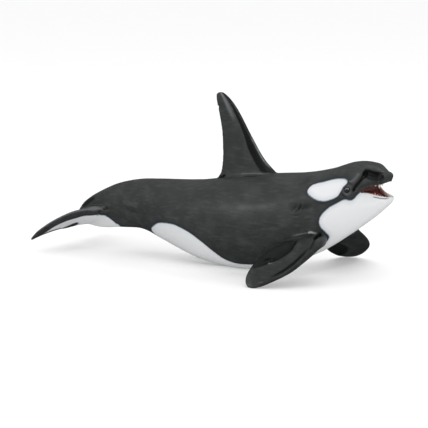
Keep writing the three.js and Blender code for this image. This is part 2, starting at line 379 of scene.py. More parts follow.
@dataclass(frozen=True)
class Mouth:
    """The open mouth: the lips' lines in the middle plane, from the corner forward, and the hollow inside.

    palate and floor are how far the hollow reaches above the upper and below the lower line, and wall is
    what it leaves of the cheeks. narrower and pointed are the shares by which the lower jaw and the upper
    jaw's tip are slimmer than the body's stations. The ramps run over x, or over the height below the
    mouth's middle.
    """

    upper: tuple[Flat, ...] = (
        (-13.2, 43.3), (-11.2, 44.3), (-8.6, 46.0), (-5.6, 47.1), (-2.9, 47.6), (-1.3, 48.2), (-0.3, 49.2),
        (0.7, 51.6),
    )
    lower: tuple[Flat, ...] = (
        (-13.2, 43.2), (-12.0, 43.5), (-10.6, 43.6), (-8.8, 43.3), (-6.8, 42.6), (-4.0, 41.8), (0.0, 41.1),
        (6.0, 40.2),
    )
    half_width: float = 22.0
    wall: float = 1.45
    palate: float = 1.4
    palate_x: Ramp = Ramp(-1.8, -4.2)
    floor: float = 3.2
    narrower: float = 0.42
    narrower_x: Ramp = Ramp(-13.5, -5.0)
    narrower_below: Ramp = Ramp(1.5, 8.5)
    pointed: float = 0.45
    pointed_x: Ramp = Ramp(-4.5, -1.0)
    split: Ramp = Ramp(-0.5, 0.5)

    def outline(self, raised: float, lowered: float) -> list[Flat]:
        """Gives the opening's outline, with the lips' lines moved apart.

        Args:
            raised: How far the upper line is moved up, growing over its first quarter and falling to nothing
                behind the upper jaw's tip.
            lowered: How far the lower line is moved down, growing over its first quarter.

        Returns:
            The outline's points.
        """
        share = np.linspace(0, 1, 40)
        grow = np.sqrt(np.clip(share * 4, 0, 1))
        upper, lower = along(np.array(self.upper), share), along(np.array(self.lower), share)
        upper[:, 1] += raised * grow * self.palate_x.of(upper[:, 0])
        lower[:, 1] -= lowered * grow
        return [tuple(p) for p in upper] + [tuple(p) for p in lower[::-1]]

    def prism(self, outline: list[Flat]) -> bpy.types.Object:
        """Makes a prism across the figure.

        Args:
            outline: Its outline in the middle plane.

        Returns:
            The prism.
        """
        count = len(outline)
        near = [(x, -self.half_width, z) for x, z in outline]
        far = [(x, self.half_width, z) for x, z in outline]
        faces = [list(range(count)), list(range(2 * count - 1, count - 1, -1))]
        for j in range(count):
            k = (j + 1) % count
            faces.append([j, j + count, k + count, k])
        return outward(mesh_object("mouth_cut", np.array(near + far), faces))

    def slimming(self, points: Array) -> Array:
        """Gives the share by which the jaws are slimmer at each point, most at the front of their lips.

        Args:
            points: Places on the body.

        Returns:
            The shares.
        """
        x = points[..., 0]
        below = self.middle(x) - points[..., 2]
        lower = self.split.of(below)
        jaw = self.narrower * lower * (1 - self.narrower_below.of(below)) * self.narrower_x.of(x)
        return jaw + self.pointed * (1 - lower) * self.pointed_x.of(x)

    def cut(self, body: bpy.types.Object, form: "Body") -> None:
        """Opens the mouth in the body.

        Args:
            body: The solid that is cut.
            form: The body's form, which gives the hollow its outline at an even distance inside the lips.
        """
        hollow = form.surface(inset=self.wall).solid("mouth_hollow")
        combine(hollow, self.prism(self.outline(self.palate, self.floor)), Change.KEEP_SHARED)
        combine(body, self.prism(self.outline(0.0, 0.0)), Change.CUT_AWAY)
        combine(body, hollow, Change.CUT_AWAY)

    def middle(self, x: Array) -> Array:
        """Gives the height half way between the lips' lines at each x."""
        return (self.lip(True, x) + self.lip(False, x)) / 2

    def lip(self, upper: bool, x: Array) -> Array:
        """Gives the height of a lip's line at each x."""
        line = along(np.array(self.upper if upper else self.lower), np.linspace(0, 1, 60))
        return np.interp(x, line[:, 0], line[:, 1])


class Station(NamedTuple):
    """A slanted cross-section of the body, from its belly line to its back line."""

    belly_x: float
    belly_z: float
    back_x: float
    back_z: float
    half: float
    waist: float
    full: float


@dataclass(frozen=True)
class Body:
    """The body from tail to snout, with a closed mouth.

    In a station, half is the half width, waist the share of the height at which it is widest, and full the
    roundness, where 2 is an ellipse and more is boxier. crowding packs the rings towards the snout, and
    least is the smallest half width or height.
    """

    stations: tuple[Station, ...] = (
        Station(-178.5, 12.0, -178.0, 17.5, 1.2, 0.5, 2.0),
        Station(-173.0, 11.4, -173.0, 23.6, 2.6, 0.48, 1.9),
        Station(-163.0, 10.6, -163.5, 29.4, 3.9, 0.48, 1.8),
        Station(-149.0, 12.0, -151.5, 34.8, 6.2, 0.48, 1.8),
        Station(-136.0, 12.4, -137.0, 38.0, 9.4, 0.48, 1.9),
        Station(-119.0, 7.4, -119.0, 39.3, 13.8, 0.48, 2.0),
        Station(-100.0, 1.6, -101.0, 40.7, 17.6, 0.47, 2.1),
        Station(-78.0, -0.6, -82.0, 44.4, 19.8, 0.46, 2.15),
        Station(-57.0, 2.6, -63.0, 46.9, 20.0, 0.45, 2.15),
        Station(-37.0, 11.4, -46.0, 48.7, 18.4, 0.46, 2.15),
        Station(-21.0, 21.8, -31.0, 51.8, 15.6, 0.5, 2.15),
        Station(-10.0, 30.2, -19.0, 56.0, 12.8, 0.52, 2.2),
        Station(-4.2, 35.2, -10.2, 56.4, 9.5, 0.52, 2.3),
        Station(-1.2, 38.0, -4.8, 54.0, 6.4, 0.5, 2.4),
        Station(0.0, 39.6, -2.0, 52.0, 3.8, 0.48, 2.4),
        Station(0.5, 40.8, -0.8, 50.4, 1.4, 0.46, 2.4),
    )
    mouth: Mouth = Mouth()
    rings: int = 340
    sides: int = 168
    crowding: float = 1.25
    least: float = 0.05

    def surface(self, inset: float = 0.0) -> Surface:
        """Makes the body's surface.

        Its chart holds the x of each ring's middle and the girth, which is the way round the body from the
        belly line up either side.

        Args:
            inset: How far inside the outer surface it lies.

        Returns:
            The surface.
        """
        share = 1 - (1 - np.linspace(0, 1, self.rings)) ** self.crowding
        read = along(np.array(self.stations), share)
        none = np.zeros(self.rings)
        belly = np.stack([read[:, 0], none, read[:, 1]], 1)
        back = np.stack([read[:, 2], none, read[:, 3]], 1)
        up = back - belly
        height = np.linalg.norm(up, axis=1)[:, None]
        up /= height
        waist = read[:, 5:6] * height
        middle = (belly + up * waist)[:, None]
        angle = np.linspace(0, 2 * np.pi, self.sides, endpoint=False)
        exponent = 2 / read[:, 6:7]
        rise = powered(np.cos(angle)[None], exponent)
        reach = np.where(rise > 0, height - waist, waist) - inset
        points = middle + up[:, None] * (rise * np.maximum(reach, self.least))[:, :, None]
        half = np.maximum(read[:, 4:5] - inset, self.least)
        points[:, :, 1] = powered(np.sin(angle)[None], exponent) * half
        points[:, :, 1] *= 1 - self.mouth.slimming(points)
        return Surface(points, self.chart(points))

    def chart(self, points: Array) -> Array:
        """Reads the body's own coordinates of its points.

        Args:
            points: The rings of points.

        Returns:
            The x of each point's ring's middle, and its girth.
        """
        step = np.linalg.norm(np.roll(points, -1, axis=1) - points, axis=2)
        bottom = self.sides // 2
        up_left = np.cumsum(step[:, bottom - 1 :: -1], axis=1)
        up_right = np.cumsum(step[:, bottom:], axis=1)
        girth = np.zeros(points.shape[:2])
        girth[:, bottom - 1 :: -1] = up_left
        girth[:, bottom + 1 :] = up_right[:, : self.sides - bottom - 1]
        middle = (points[:, 0, 0] + points[:, bottom, 0]) / 2
        return np.stack([np.broadcast_to(middle[:, None], girth.shape), girth], -1)


@dataclass(frozen=True)
class Profile:
    """A blade's cross-section: shares of the half thickness at shares of the chord."""

    chord: tuple[float, ...]
    thickness: tuple[float, ...]

    def around(self, sides: int) -> tuple[Array, Array]:
        """Goes round the section, out on the upper face and back on the lower one.

        Args:
            sides: How many points it takes.

        Returns:
            Each point's share of the chord, and of the half thickness.
        """
        angle = np.arange(sides) / sides * 2 * np.pi
        chord = 0.5 - 0.5 * np.cos(angle)
        shape = along(np.stack([self.chord, self.thickness], 1), np.linspace(0, 1, 400))
        thickness = np.interp(chord, shape[:, 0], shape[:, 1])
        return chord, thickness * np.where(angle <= np.pi, 1, -1)


BLUNT_PROFILE = Profile(
    chord=(0.0, 0.02, 0.08, 0.2, 0.35, 0.5, 0.7, 0.87, 0.97, 1.0),
    thickness=(0.0, 0.35, 0.66, 0.92, 1.0, 0.94, 0.75, 0.47, 0.22, 0.0),
)
BEVELLED_PROFILE = Profile(
    chord=(0.0, 0.006, 0.025, 0.055, 0.09, 0.14, 0.32, 0.62, 0.9, 1.0),
    thickness=(0.0, 0.3, 0.56, 0.82, 0.98, 1.04, 1.03, 0.84, 0.44, 0.0),
)


@dataclass(frozen=True)
class Blade:
    """A flipper or fluke between two edges, from inside the body out to its rounded tip.

    The edges are rows of points, which match pair by pair, and the chart holds the share of the span, the
    share of the chord, and 1 on the upper and -1 on the lower face. root and tip are its half thicknesses.
    """

    lead: tuple[Point, ...]
    trail: tuple[Point, ...]
    root: float
    tip: float
    round_from: float = 0.93
    round_to: float = 1.0001
    steps: int = 110
    sides: int = 72

    def surface(self, mirrored: bool = False) -> Surface:
        """Makes the blade's surface.

        Args:
            mirrored: Whether it lies on the other side of the figure than its edges.

        Returns:
            The surface.
        """
        share = np.linspace(0, 1, self.steps)
        lead, trail = along(np.array(self.lead), share), along(np.array(self.trail), share)
        normal = np.cross(trail - lead, np.gradient(lead, axis=0))
        normal /= np.linalg.norm(normal, axis=1)[:, None]
        near_tip = np.clip((share - self.round_from) / (self.round_to - self.round_from), 0, 1)
        rounding = np.sqrt(1 - near_tip**2)
        middle = (lead + trail) / 2
        lead = middle + (lead - middle) * rounding[:, None]
        trail = middle + (trail - middle) * rounding[:, None]
        chord, thickness = BLUNT_PROFILE.around(self.sides)
        half = (self.root + (self.tip - self.root) * share) * rounding
        points = lead[:, None] + (trail - lead)[:, None] * chord[:, None]
        points = points + normal[:, None] * (thickness * half[:, None])[:, :, None]
        if mirrored:
            points[:, :, 1] *= -1
        face = np.sign(thickness)
        chart = np.stack(np.broadcast_arrays(share[:, None], chord[None], face[None]), -1)
        return Surface(points, chart)


@dataclass(frozen=True)
class DorsalFin:
    """The tall fin, as level cross-sections: height, leading edge, trailing edge and half thickness."""

    levels: tuple[tuple[float, float, float, float], ...] = (
        (40.0, -54.0, -96.2, 5.2),
        (44.0, -57.5, -92.2, 4.2),
        (47.6, -61.4, -91.0, 3.2),
        (53.8, -68.0, -90.3, 2.5),
        (63.9, -74.7, -90.7, 2.1),
        (72.0, -79.5, -92.0, 1.8),
        (79.0, -84.6, -93.7, 1.4),
        (82.6, -88.4, -94.0, 1.0),
        (83.9, -90.6, -92.4, 0.5),
    )
    steps: int = 150
    sides: int = 80

    def surface(self) -> Surface:
        """Makes the fin's surface.

        Returns:
            The surface, whose chart holds the height, the share of the chord and the face.
        """
        level, lead, trail, half = along(np.array(self.levels), np.linspace(0, 1, self.steps)).T
        chord, thickness = BEVELLED_PROFILE.around(self.sides)
        x = lead[:, None] + (trail - lead)[:, None] * chord
        y = -thickness * half[:, None]
        z = np.broadcast_to(level[:, None], x.shape)
        chart = np.stack(np.broadcast_arrays(level[:, None], chord[None], np.sign(thickness)[None]), -1)
        return Surface(np.stack([x, y, z], -1), chart)


FLIPPER_RIGHT = Blade(
    lead=(
        (-28.2, -8.5, 24.6), (-26.9, -16.2, 19.5), (-30.1, -23.1, 13.6), (-36.4, -30.1, 7.1),
        (-44.8, -35.8, 2.2), (-50.6, -38.4, 0.1), (-54.6, -38.1, 0.8),
    ),
    trail=(
        (-38.0, -8.0, 25.0), (-40.5, -15.8, 21.0), (-45.6, -19.6, 18.4), (-51.0, -24.2, 14.7),
        (-54.9, -28.8, 10.3), (-56.3, -33.2, 6.0), (-56.2, -35.8, 3.2),
    ),
    root=2.6, tip=0.8,
)
FLIPPER_LEFT = Blade(
    lead=(
        (-26.0, 13.0, 24.0), (-27.2, 21.5, 19.2), (-27.8, 30.4, 14.5), (-29.0, 36.5, 11.0),
        (-31.5, 41.5, 7.4), (-36.4, 45.7, 3.5), (-41.0, 46.9, 1.2),
    ),
    trail=(
        (-40.0, 13.0, 19.0), (-43.5, 18.0, 15.4), (-48.2, 26.5, 9.1), (-49.8, 32.6, 5.3),
        (-49.4, 38.0, 2.6), (-48.5, 41.9, 1.0), (-46.8, 45.0, 0.2),
    ),
    root=2.6, tip=0.8,
)
FLUKE = Blade(
    lead=(
        (-149.0, -1.0, 19.4), (-161.0, -8.0, 21.3), (-169.0, -15.0, 20.4), (-176.5, -22.5, 16.2),
        (-181.5, -28.5, 11.4), (-183.5, -31.5, 7.6),
    ),
    trail=(
        (-179.0, 1.0, 10.5), (-182.0, -5.0, 9.0), (-182.6, -11.0, 9.2), (-182.6, -18.0, 9.0),
        (-183.4, -26.0, 8.0), (-184.6, -31.5, 6.8),
    ),
    root=2.2, tip=0.5, steps=90,
)


@dataclass(frozen=True)
class Egg:
    """A ball stretched along the three axes and tilted nose up."""

    at: Point
    size: Point
    tilt: float = 0.0

    def solid(self, name: str, side: Side = Side.LEFT) -> bpy.types.Object:
        """Makes the egg.

        Args:
            name: The name of the object.
            side: The side that it is on, where LEFT leaves it as drawn.

        Returns:
            The egg.
        """
        points, faces = ball(rows=48, columns=72)
        points = turned(points * self.size, self.tilt) + self.at
        points[:, 1] *= side.value
        return outward(mesh_object(name, points, faces))

    def gap(self, points: Array) -> Array:
        """Measures roughly how far points are from the egg's surface, mirrored to their side."""
        arm = np.where((False, True, False), np.abs(points), points) - self.at
        return np.abs(np.linalg.norm(turned(arm, -self.tilt) / self.size, axis=1) - 1) * min(self.size)


def ball(rows: int, columns: int) -> tuple[Array, list]:
    """Makes a ball of radius 1 with its poles above and below.

    Args:
        rows: How many bands it has from pole to pole.
        columns: How many faces each band has.

    Returns:
        The points and the faces.
    """
    polar = np.linspace(0, np.pi, rows + 1)[1:-1]
    around = np.arange(columns) / columns * 2 * np.pi
    flat = np.sin(polar)[:, None]
    height = np.cos(polar)[:, None]
    rings = np.stack(np.broadcast_arrays(flat * np.cos(around), flat * np.sin(around), height), -1)
    return np.vstack([rings.reshape(-1, 3), [[0, 0, 1], [0, 0, -1]]]), closed_faces(rows - 1, columns)


def turned(points: Array, tilt: float) -> Array:
    """Tilts points nose up about the y axis by an angle in degrees."""
    c, s = math.cos(math.radians(tilt)), math.sin(math.radians(tilt))
    return points @ np.array([[c, 0, s], [0, 1, 0], [-s, 0, c]])


class Stroke(NamedTuple):
    """A crease or ridge along a line on the right side, mirrored to the left.

    width is where it has fallen to about a third, height is negative for a crease, and ends is the share of
    the line over which it fades at either end. shade is painted light along the line: painted shade where it
    is negative and a painted highlight where positive, added to the painted shade in hollows and painted
    highlights on ridges that the relief gives.
    """

    name: str
    width: float
    height: float
    line: tuple[Point, ...]
    ends: float = 0.3
    shade: float = 0.0
    outset: float = -0.01

    def fade(self, share: Array) -> Array:
        """Gives the stroke's strength along its line, from 0 at either end to 1."""
        return smooth_step(share, self.outset, self.ends) * smooth_step(1 - share, self.outset, self.ends)


class Swelling(NamedTuple):
    """A rounded rise or hollow round a place on the right side, mirrored to the left."""

    name: str
    at: Point
    size: Point
    height: float


# Negative shades are painted shade along a line, positive ones painted highlights.
STROKES = (
    Stroke("face_hollow", 1.75, -1.5, (
        (-11.0, -8.6, 53.0), (-10.0, -8.2, 52.6), (-8.1, -8.0, 51.8), (-6.1, -7.0, 51.2),
        (-4.5, -5.8, 50.9), (-3.5, -5.0, 50.9),
    ), ends=0.15, shade=-0.2),
    # Painted shade over the face's hollow, without relief.
    Stroke("face_hollow_shade", 1.6, 0.0, (
        (-10.6, -6.9, 52.8), (-8.8, -6.5, 51.9), (-7.5, -6.2, 51.4), (-6.2, -5.2, 51.2),
        (-4.9, -4.6, 51.3), (-3.7, -4.3, 51.5), (-2.9, -3.2, 51.6),
    ), ends=0.08, shade=-1.6),
    Stroke("lip_seam", 0.3, -0.12, (
        (-7.3, -7.3, 41.8), (-6.1, -6.5, 41.6), (-4.9, -5.9, 41.4), (-3.7, -5.3, 41.1), (-2.2, -4.3, 40.9),
        (-0.8, -3.0, 40.9), (0.0, -1.6, 40.9),
    ), ends=0.25, shade=-0.8),
    Stroke("under_brow", 0.8, -0.7, (
        (-10.6, -7.7, 53.6), (-9.4, -7.2, 53.5), (-8.0, -6.7, 53.2), (-5.9, -5.7, 52.5),
        (-3.7, -4.3, 51.6),
    ), ends=0.2),
    Stroke("brow", 1.0, 0.25, (
        (-12.4, -6.6, 55.3), (-9.6, -5.4, 55.3), (-6.6, -4.2, 54.7), (-4.2, -2.9, 53.8),
    )),
    Stroke("cheek_groove", 0.75, -0.85, (
        (-9.5, -7.2, 53.6), (-9.6, -8.0, 52.7), (-9.9, -8.9, 51.7), (-10.5, -9.8, 50.4),
        (-11.6, -10.9, 48.6), (-12.8, -11.7, 46.8), (-13.5, -12.3, 45.0), (-14.0, -12.7, 43.6),
    ), ends=0.15, shade=-0.2),
    Stroke("brow_ridge", 1.2, 0.5, (
        (-12.3, -8.7, 52.8), (-12.6, -9.8, 51.6), (-13.2, -10.7, 50.2), (-14.4, -11.5, 48.8),
        (-16.0, -12.0, 47.8),
    )),
    # The lip band gets painted shade.
    Stroke("lip_band", 1.1, 0.2, (
        (-1.8, -3.7, 49.1), (-2.9, -5.4, 48.7), (-4.9, -7.4, 48.4), (-7.2, -9.0, 48.0),
        (-9.5, -10.3, 47.2), (-11.2, -11.2, 46.0), (-12.2, -11.7, 44.6),
    ), ends=0.2, shade=-0.6),
    Stroke("beak_crease", 0.45, -0.12, ((-3.4, -4.6, 52.2), (-2.9, -3.4, 52.3), (-2.2, -2.0, 52.1))),
    Stroke("under_eye", 0.6, -0.35, (
        (-18.8, -13.7, 43.2), (-17.6, -13.6, 41.9), (-16.4, -13.4, 41.1),
    ), ends=0.3, shade=-0.4),
    Stroke("mouth_corner", 0.45, -0.4, ((-11.9, -11.8, 43.4), (-13.0, -12.2, 42.9), (-14.0, -12.6, 42.4))),
    Stroke("neck_hollow", 2.4, -0.55, (
        (-44.0, -18.0, 34.2), (-39.5, -17.5, 35.0), (-35.5, -16.9, 35.9), (-31.5, -16.3, 37.7),
    )),
    Stroke("nape_hollow", 2.6, -0.3, ((-43.0, -13.4, 44.4), (-39.0, -11.6, 46.2), (-35.0, -9.8, 48.4))),
    Stroke("neck_wrinkle_1", 0.4, 0.22, (
        (-39.0, -16.8, 37.9), (-39.4, -17.3, 35.6), (-40.2, -17.7, 34.2), (-41.6, -18.1, 32.9),
    )),
    Stroke("neck_wrinkle_2", 0.35, -0.2, ((-38.1, -17.0, 37.2), (-38.3, -17.3, 35.6), (-38.9, -17.6, 34.3))),
    Stroke("neck_wrinkle_3", 0.35, 0.2, ((-37.2, -16.6, 38.2), (-37.0, -17.2, 36.0), (-37.6, -17.4, 34.8))),
    Stroke("neck_wrinkle_4", 0.35, 0.22, (
        (-44.0, -18.3, 32.2), (-41.4, -18.1, 32.3), (-39.0, -17.9, 32.7), (-37.0, -17.6, 33.2),
    )),
    Stroke("neck_wrinkle_5", 0.4, -0.2, ((-43.2, -18.3, 31.3), (-40.4, -18.1, 31.4), (-37.8, -17.8, 31.9))),
    Stroke("neck_wrinkle_6", 0.32, 0.24, ((-36.0, -17.5, 30.6), (-34.5, -17.4, 30.9), (-32.1, -16.9, 31.4))),
    Stroke("neck_wrinkle_7", 0.35, -0.16, (
        (-35.8, -17.5, 29.8), (-33.9, -17.2, 30.0), (-32.0, -16.8, 30.5),
    )),
    Stroke("shoulder_crease", 1.3, -0.2, (
        (-50.5, -18.8, 15.6), (-47.7, -18.4, 17.9), (-45.5, -18.1, 19.8), (-42.0, -17.8, 21.6),
    )),
    Stroke("arm_ridge", 0.55, 0.42, (
        (-43.0, -17.9, 21.2), (-38.5, -17.2, 22.7), (-34.7, -16.3, 23.7), (-33.1, -15.9, 24.1),
        (-31.6, -15.1, 23.9),
    ), ends=0.2, shade=0.4),
    # The knob gets a bright painted highlight.
    Stroke("knob", 0.6, 0.65, (
        (-34.4, -16.1, 23.7), (-33.1, -15.9, 24.2), (-31.9, -15.2, 23.8), (-30.7, -14.6, 23.4),
    ), ends=0.15, shade=1.4),
    Stroke("root_pit", 0.75, -1.5, (
        (-32.6, -14.2, 20.8), (-31.2, -14.2, 22.0), (-29.8, -13.8, 22.7), (-28.7, -13.6, 23.5),
    ), ends=0.25),
    Stroke("root_line", 0.42, -0.35, (
        (-30.3, -15.4, 22.7), (-30.1, -16.8, 22.2), (-30.1, -18.1, 21.2), (-30.1, -19.5, 19.8),
        (-30.2, -21.1, 18.0), (-30.5, -22.4, 16.3),
    ), ends=0.2),
    Stroke("stock_crease", 1.5, -0.34, (
        (-150.0, -6.2, 24.6), (-146.5, -7.0, 24.1), (-140.2, -8.4, 23.2), (-135.1, -9.6, 22.9),
        (-129.0, -11.2, 22.0),
    )),
    Stroke("stock_swell", 1.9, 0.3, ((-147.0, -6.8, 26.6), (-139.3, -8.7, 25.9), (-132.0, -10.3, 25.4))),
    Stroke("stock_rise", 1.6, 0.2, ((-146.0, -6.8, 21.6), (-138.0, -8.8, 20.6), (-131.0, -10.6, 19.6))),
    Stroke("fluke_knot", 0.75, -0.6, (
        (-158.4, -5.0, 20.7), (-156.8, -5.2, 21.3), (-154.9, -5.6, 21.8),
    ), ends=0.3, shade=-0.4),
    Stroke("fluke_crease", 0.5, -0.4, (
        (-164.5, -4.2, 19.6), (-161.8, -4.4, 19.5), (-159.0, -4.8, 20.2),
    ), ends=0.3, shade=-0.2),
    # Painted shade on the tail stock, without relief.
    Stroke("stock_shade", 1.5, 0.0, (
        (-174.3, -1.8, 20.3), (-172.3, -1.9, 22.0), (-169.9, -2.0, 23.5), (-167.7, -2.0, 25.0),
        (-165.0, -2.2, 26.4),
    ), ends=0.2, shade=-0.8),
    Stroke("fin_heel", 0.7, -0.7, (
        (-87.5, -2.2, 44.0), (-90.5, -1.4, 43.0), (-93.0, -0.6, 42.4),
    ), ends=0.3, shade=-0.8),
    Stroke("fin_step", 0.38, 0.34, (
        (-80.0, -3.6, 45.4), (-75.0, -3.9, 46.1), (-70.0, -3.7, 46.6), (-65.5, -3.0, 46.8),
        (-62.5, -1.6, 46.9),
    ), ends=0.2, shade=0.4),
    Stroke("fin_step_shade", 0.45, -0.34, (
        (-78.0, -4.3, 44.5), (-73.0, -4.4, 45.2), (-68.0, -4.0, 45.7),
    ), ends=0.3, shade=-0.4),
    Stroke("fin_notch", 0.8, -0.3, ((-93.6, -0.8, 77.4), (-92.7, -0.8, 77.0), (-91.5, -1.0, 77.2))),
)
# The curls and the tip carry painted highlights, the groove painted shade.
FLIPPER_STROKES = (
    Stroke("curl_1", 0.4, 0.6, (
        (-51.6, -28.8, 11.2), (-50.2, -27.7, 12.3), (-48.2, -27.2, 12.9), (-45.9, -27.8, 12.5),
        (-44.3, -28.7, 11.6),
    ), ends=0.3, shade=0.7),
    Stroke("curl_2", 0.38, 0.5, (
        (-51.0, -29.8, 10.4), (-48.9, -29.7, 10.6), (-46.6, -29.9, 10.4), (-44.4, -29.2, 11.1),
    ), ends=0.3, shade=0.6),
    Stroke("curl_3", 0.3, 0.35, (
        (-49.4, -28.6, 11.6), (-47.8, -28.5, 11.7), (-46.6, -28.9, 11.4),
    ), ends=0.3, shade=0.3),
    Stroke("lead_rim", 0.35, 0.34, (
        (-29.8, -21.2, 17.2), (-31.3, -23.6, 15.1), (-33.7, -26.9, 11.8), (-36.3, -29.7, 8.9),
        (-40.2, -32.8, 6.0), (-44.4, -35.4, 3.6),
    )),
    Stroke("lead_groove", 0.5, -0.45, (
        (-30.8, -21.0, 18.4), (-33.6, -25.3, 14.0), (-36.3, -28.6, 10.6), (-39.8, -31.8, 7.5),
        (-44.0, -34.6, 4.9),
    ), ends=0.3, shade=-0.5),
    Stroke("tip_glint", 0.35, 0.3, (
        (-48.6, -37.3, 2.4), (-47.3, -36.8, 2.8), (-46.0, -36.4, 2.9),
    ), ends=0.3, shade=0.6),
)
SWELLINGS = (
    Swelling("eye_bulge", (-16.6, -12.9, 43.6), (2.7, 3.0, 3.3), 0.5),
    Swelling("flipper_shoulder", (-27.9, -14.4, 19.6), (2.4, 3.0, 2.8), 1.2),
)


def path(line: tuple[Point, ...], side: Side, count: int = 28) -> Array:
    """Gives a smooth line of points on one side of the figure.

    Args:
        line: The points that it runs through, drawn on the right side.
        side: The side that it is wanted on.
        count: How many points it gets.

    Returns:
        The points.
    """
    points = along(np.array(line), np.linspace(0, 1, count))
    points[:, 1] *= -side.value
    return points


def distance_to_path(points: Array, line: Array) -> tuple[Array, Array]:
    """Measures how far points are from a line of points.

    Args:
        points: The points.
        line: The line's points in order.

    Returns:
        The distances, and where along the line the nearest places are, from 0 to 1.
    """
    best = np.full(len(points), np.inf)
    where = np.zeros(len(points))
    for k in range(len(line) - 1):
        start, step = line[k], line[k + 1] - line[k]
        t = np.clip((points - start) @ step / max(step @ step, TINY), 0, 1)
        gap = np.linalg.norm(points - start - t[:, None] * step, axis=1)
        closer = gap < best
        best[closer] = gap[closer]
        where[closer] = (k + t[closer]) / (len(line) - 1)
    return best, where


def signed_distance(spots: Array, outline: tuple[Flat, ...], smoothness: int = 6) -> Array:
    """Measures how far inside a closed outline each spot lies.

    Args:
        spots: Places on a chart.
        outline: The outline's points, through which a smooth closed line runs.
        smoothness: How many steps it takes from point to point.

    Returns:
        The distances to the outline, positive inside.
    """
    points = np.array(outline + outline[:3], float)
    count = len(outline)
    share = (np.arange(count * smoothness) / smoothness + 1) / (len(points) - 1)
    ring = along(points, share)
    after = np.roll(ring, -1, axis=0)
    best = np.full(len(spots), np.inf)
    crossings = np.zeros(len(spots), int)
    for a, b in zip(ring, after):
        step = b - a
        t = np.clip((spots - a) @ step / max(step @ step, TINY), 0, 1)
        best = np.minimum(best, np.hypot(*(spots - a - t[:, None] * step).T))
        if a[1] != b[1]:
            spans = (a[1] > spots[:, 1]) != (b[1] > spots[:, 1])
            at = a[0] + (spots[:, 1] - a[1]) / (b[1] - a[1]) * step[0]
            crossings += spans & (spots[:, 0] < at)
    return np.where(crossings % 2 == 1, best, -best)


class Relaxer:
    """Smooths a mesh by moving vertices towards their neighbours' middle."""

    INWARD = 0.5
    OUTWARD = -0.52

    def __init__(self, mesh: bpy.types.Mesh) -> None:
        """Reads which vertices are neighbours.

        Args:
            mesh: The mesh.
        """
        edges = numbers(mesh.edges, "vertices", 2, np.int32)
        self.start = np.concatenate([edges[:, 0], edges[:, 1]])
        self.end = np.concatenate([edges[:, 1], edges[:, 0]])
        self.count = len(mesh.vertices)
        self.share = 1 / np.maximum(np.bincount(self.start, minlength=self.count), 1)

    def middle(self, points: Array) -> Array:
        """Gives the middle of each vertex's neighbours."""
        columns = [np.bincount(self.start, points[self.end, k], self.count) for k in range(3)]
        return np.stack(columns, 1) * self.share[:, None]

    def relax(self, points: Array, weight: Array | float, rounds: int) -> Array:
        """Smooths the points.

        Args:
            points: The vertices' places.
            weight: How far each moves in a round, from 0 to 1.
            rounds: How many rounds it takes.

        Returns:
            The new places.
        """
        weight = np.broadcast_to(weight, len(points))[:, None]
        for _ in range(rounds):
            points = points + (self.middle(points) - points) * weight
        return points

    def polish(self, points: Array, rounds: int) -> Array:
        """Removes steps as fine as the mesh without shrinking larger forms.

        Args:
            points: The vertices' places.
            rounds: How many rounds it takes.

        Returns:
            The new places.
        """
        for _ in range(rounds):
            for weight in (self.INWARD, self.OUTWARD):
                points = self.relax(points, weight, 1)
        return points


Reading = dict[Form, tuple[Array, Array]]


@dataclass(frozen=True)
class FlipperTrough:
    """The scoop along the rear half of a flipper's upper face, and painted shade in it and on that face.

    edge is the share of the chord where the scoop starts at edge_middle of the span. It starts further back
    on either side, and edge_turn more near the root. The ramps run over shares of the span or, where named
    so, of the chord, and skin runs over the distance from the flipper's form.
    """

    skin: Ramp = Ramp(1.8, 0.7)
    edge: float = 0.47
    edge_bend: float = 3.4
    edge_middle: float = 0.42
    edge_turn: float = 0.08
    edge_turning: Ramp = Ramp(0.38, 0.28)
    from_root: Ramp = Ramp(0.2, 0.32)
    to_tip: Ramp = Ramp(0.77, 0.68)
    depth: float = -1.2
    slope_chord: Ramp = Ramp(0.0, 0.14)
    rear_chord: Ramp = Ramp(1.0, 0.72)
    rim: float = 0.2
    rim_ahead: float = 0.06
    rim_width: float = 0.09
    shade: float = 1.1
    shade_chord: Ramp = Ramp(-0.02, 0.07)
    face_shade: float = 0.4
    face: Ramp = Ramp(0.85, 0.7)
    tip_light: float = 0.25
    tip: Ramp = Ramp(0.7, 0.85)

    def carve(self, distance: Array, chart: Array) -> tuple[Array, Array]:
        """Works the trough out.

        Args:
            distance: How far each point is from the flipper's form.
            chart: The share of the span, the share of the chord and the face.

        Returns:
            How far each point is raised, and its painted light: painted shade in the scoop and on the face, a
            painted highlight at the tip.
        """
        span, chord, face = chart.T
        here = (face > 0) * self.skin.of(np.abs(distance))
        edge = self.edge + self.edge_bend * (span - self.edge_middle) ** 2
        edge = edge + self.edge_turn * self.edge_turning.of(span)
        length = self.from_root.of(span) * self.to_tip.of(span)
        across = self.slope_chord.of(chord - edge) * self.rear_chord.of(chord)
        rise = self.rim * bell(chord - edge + self.rim_ahead, self.rim_width)
        dark = length * self.shade_chord.of(chord - edge)
        shade = np.maximum(self.shade * dark, self.face_shade * self.face.of(span))
        shade -= self.tip_light * self.tip.of(span)
        return here * length * (self.depth * across + rise), -(here * shade)


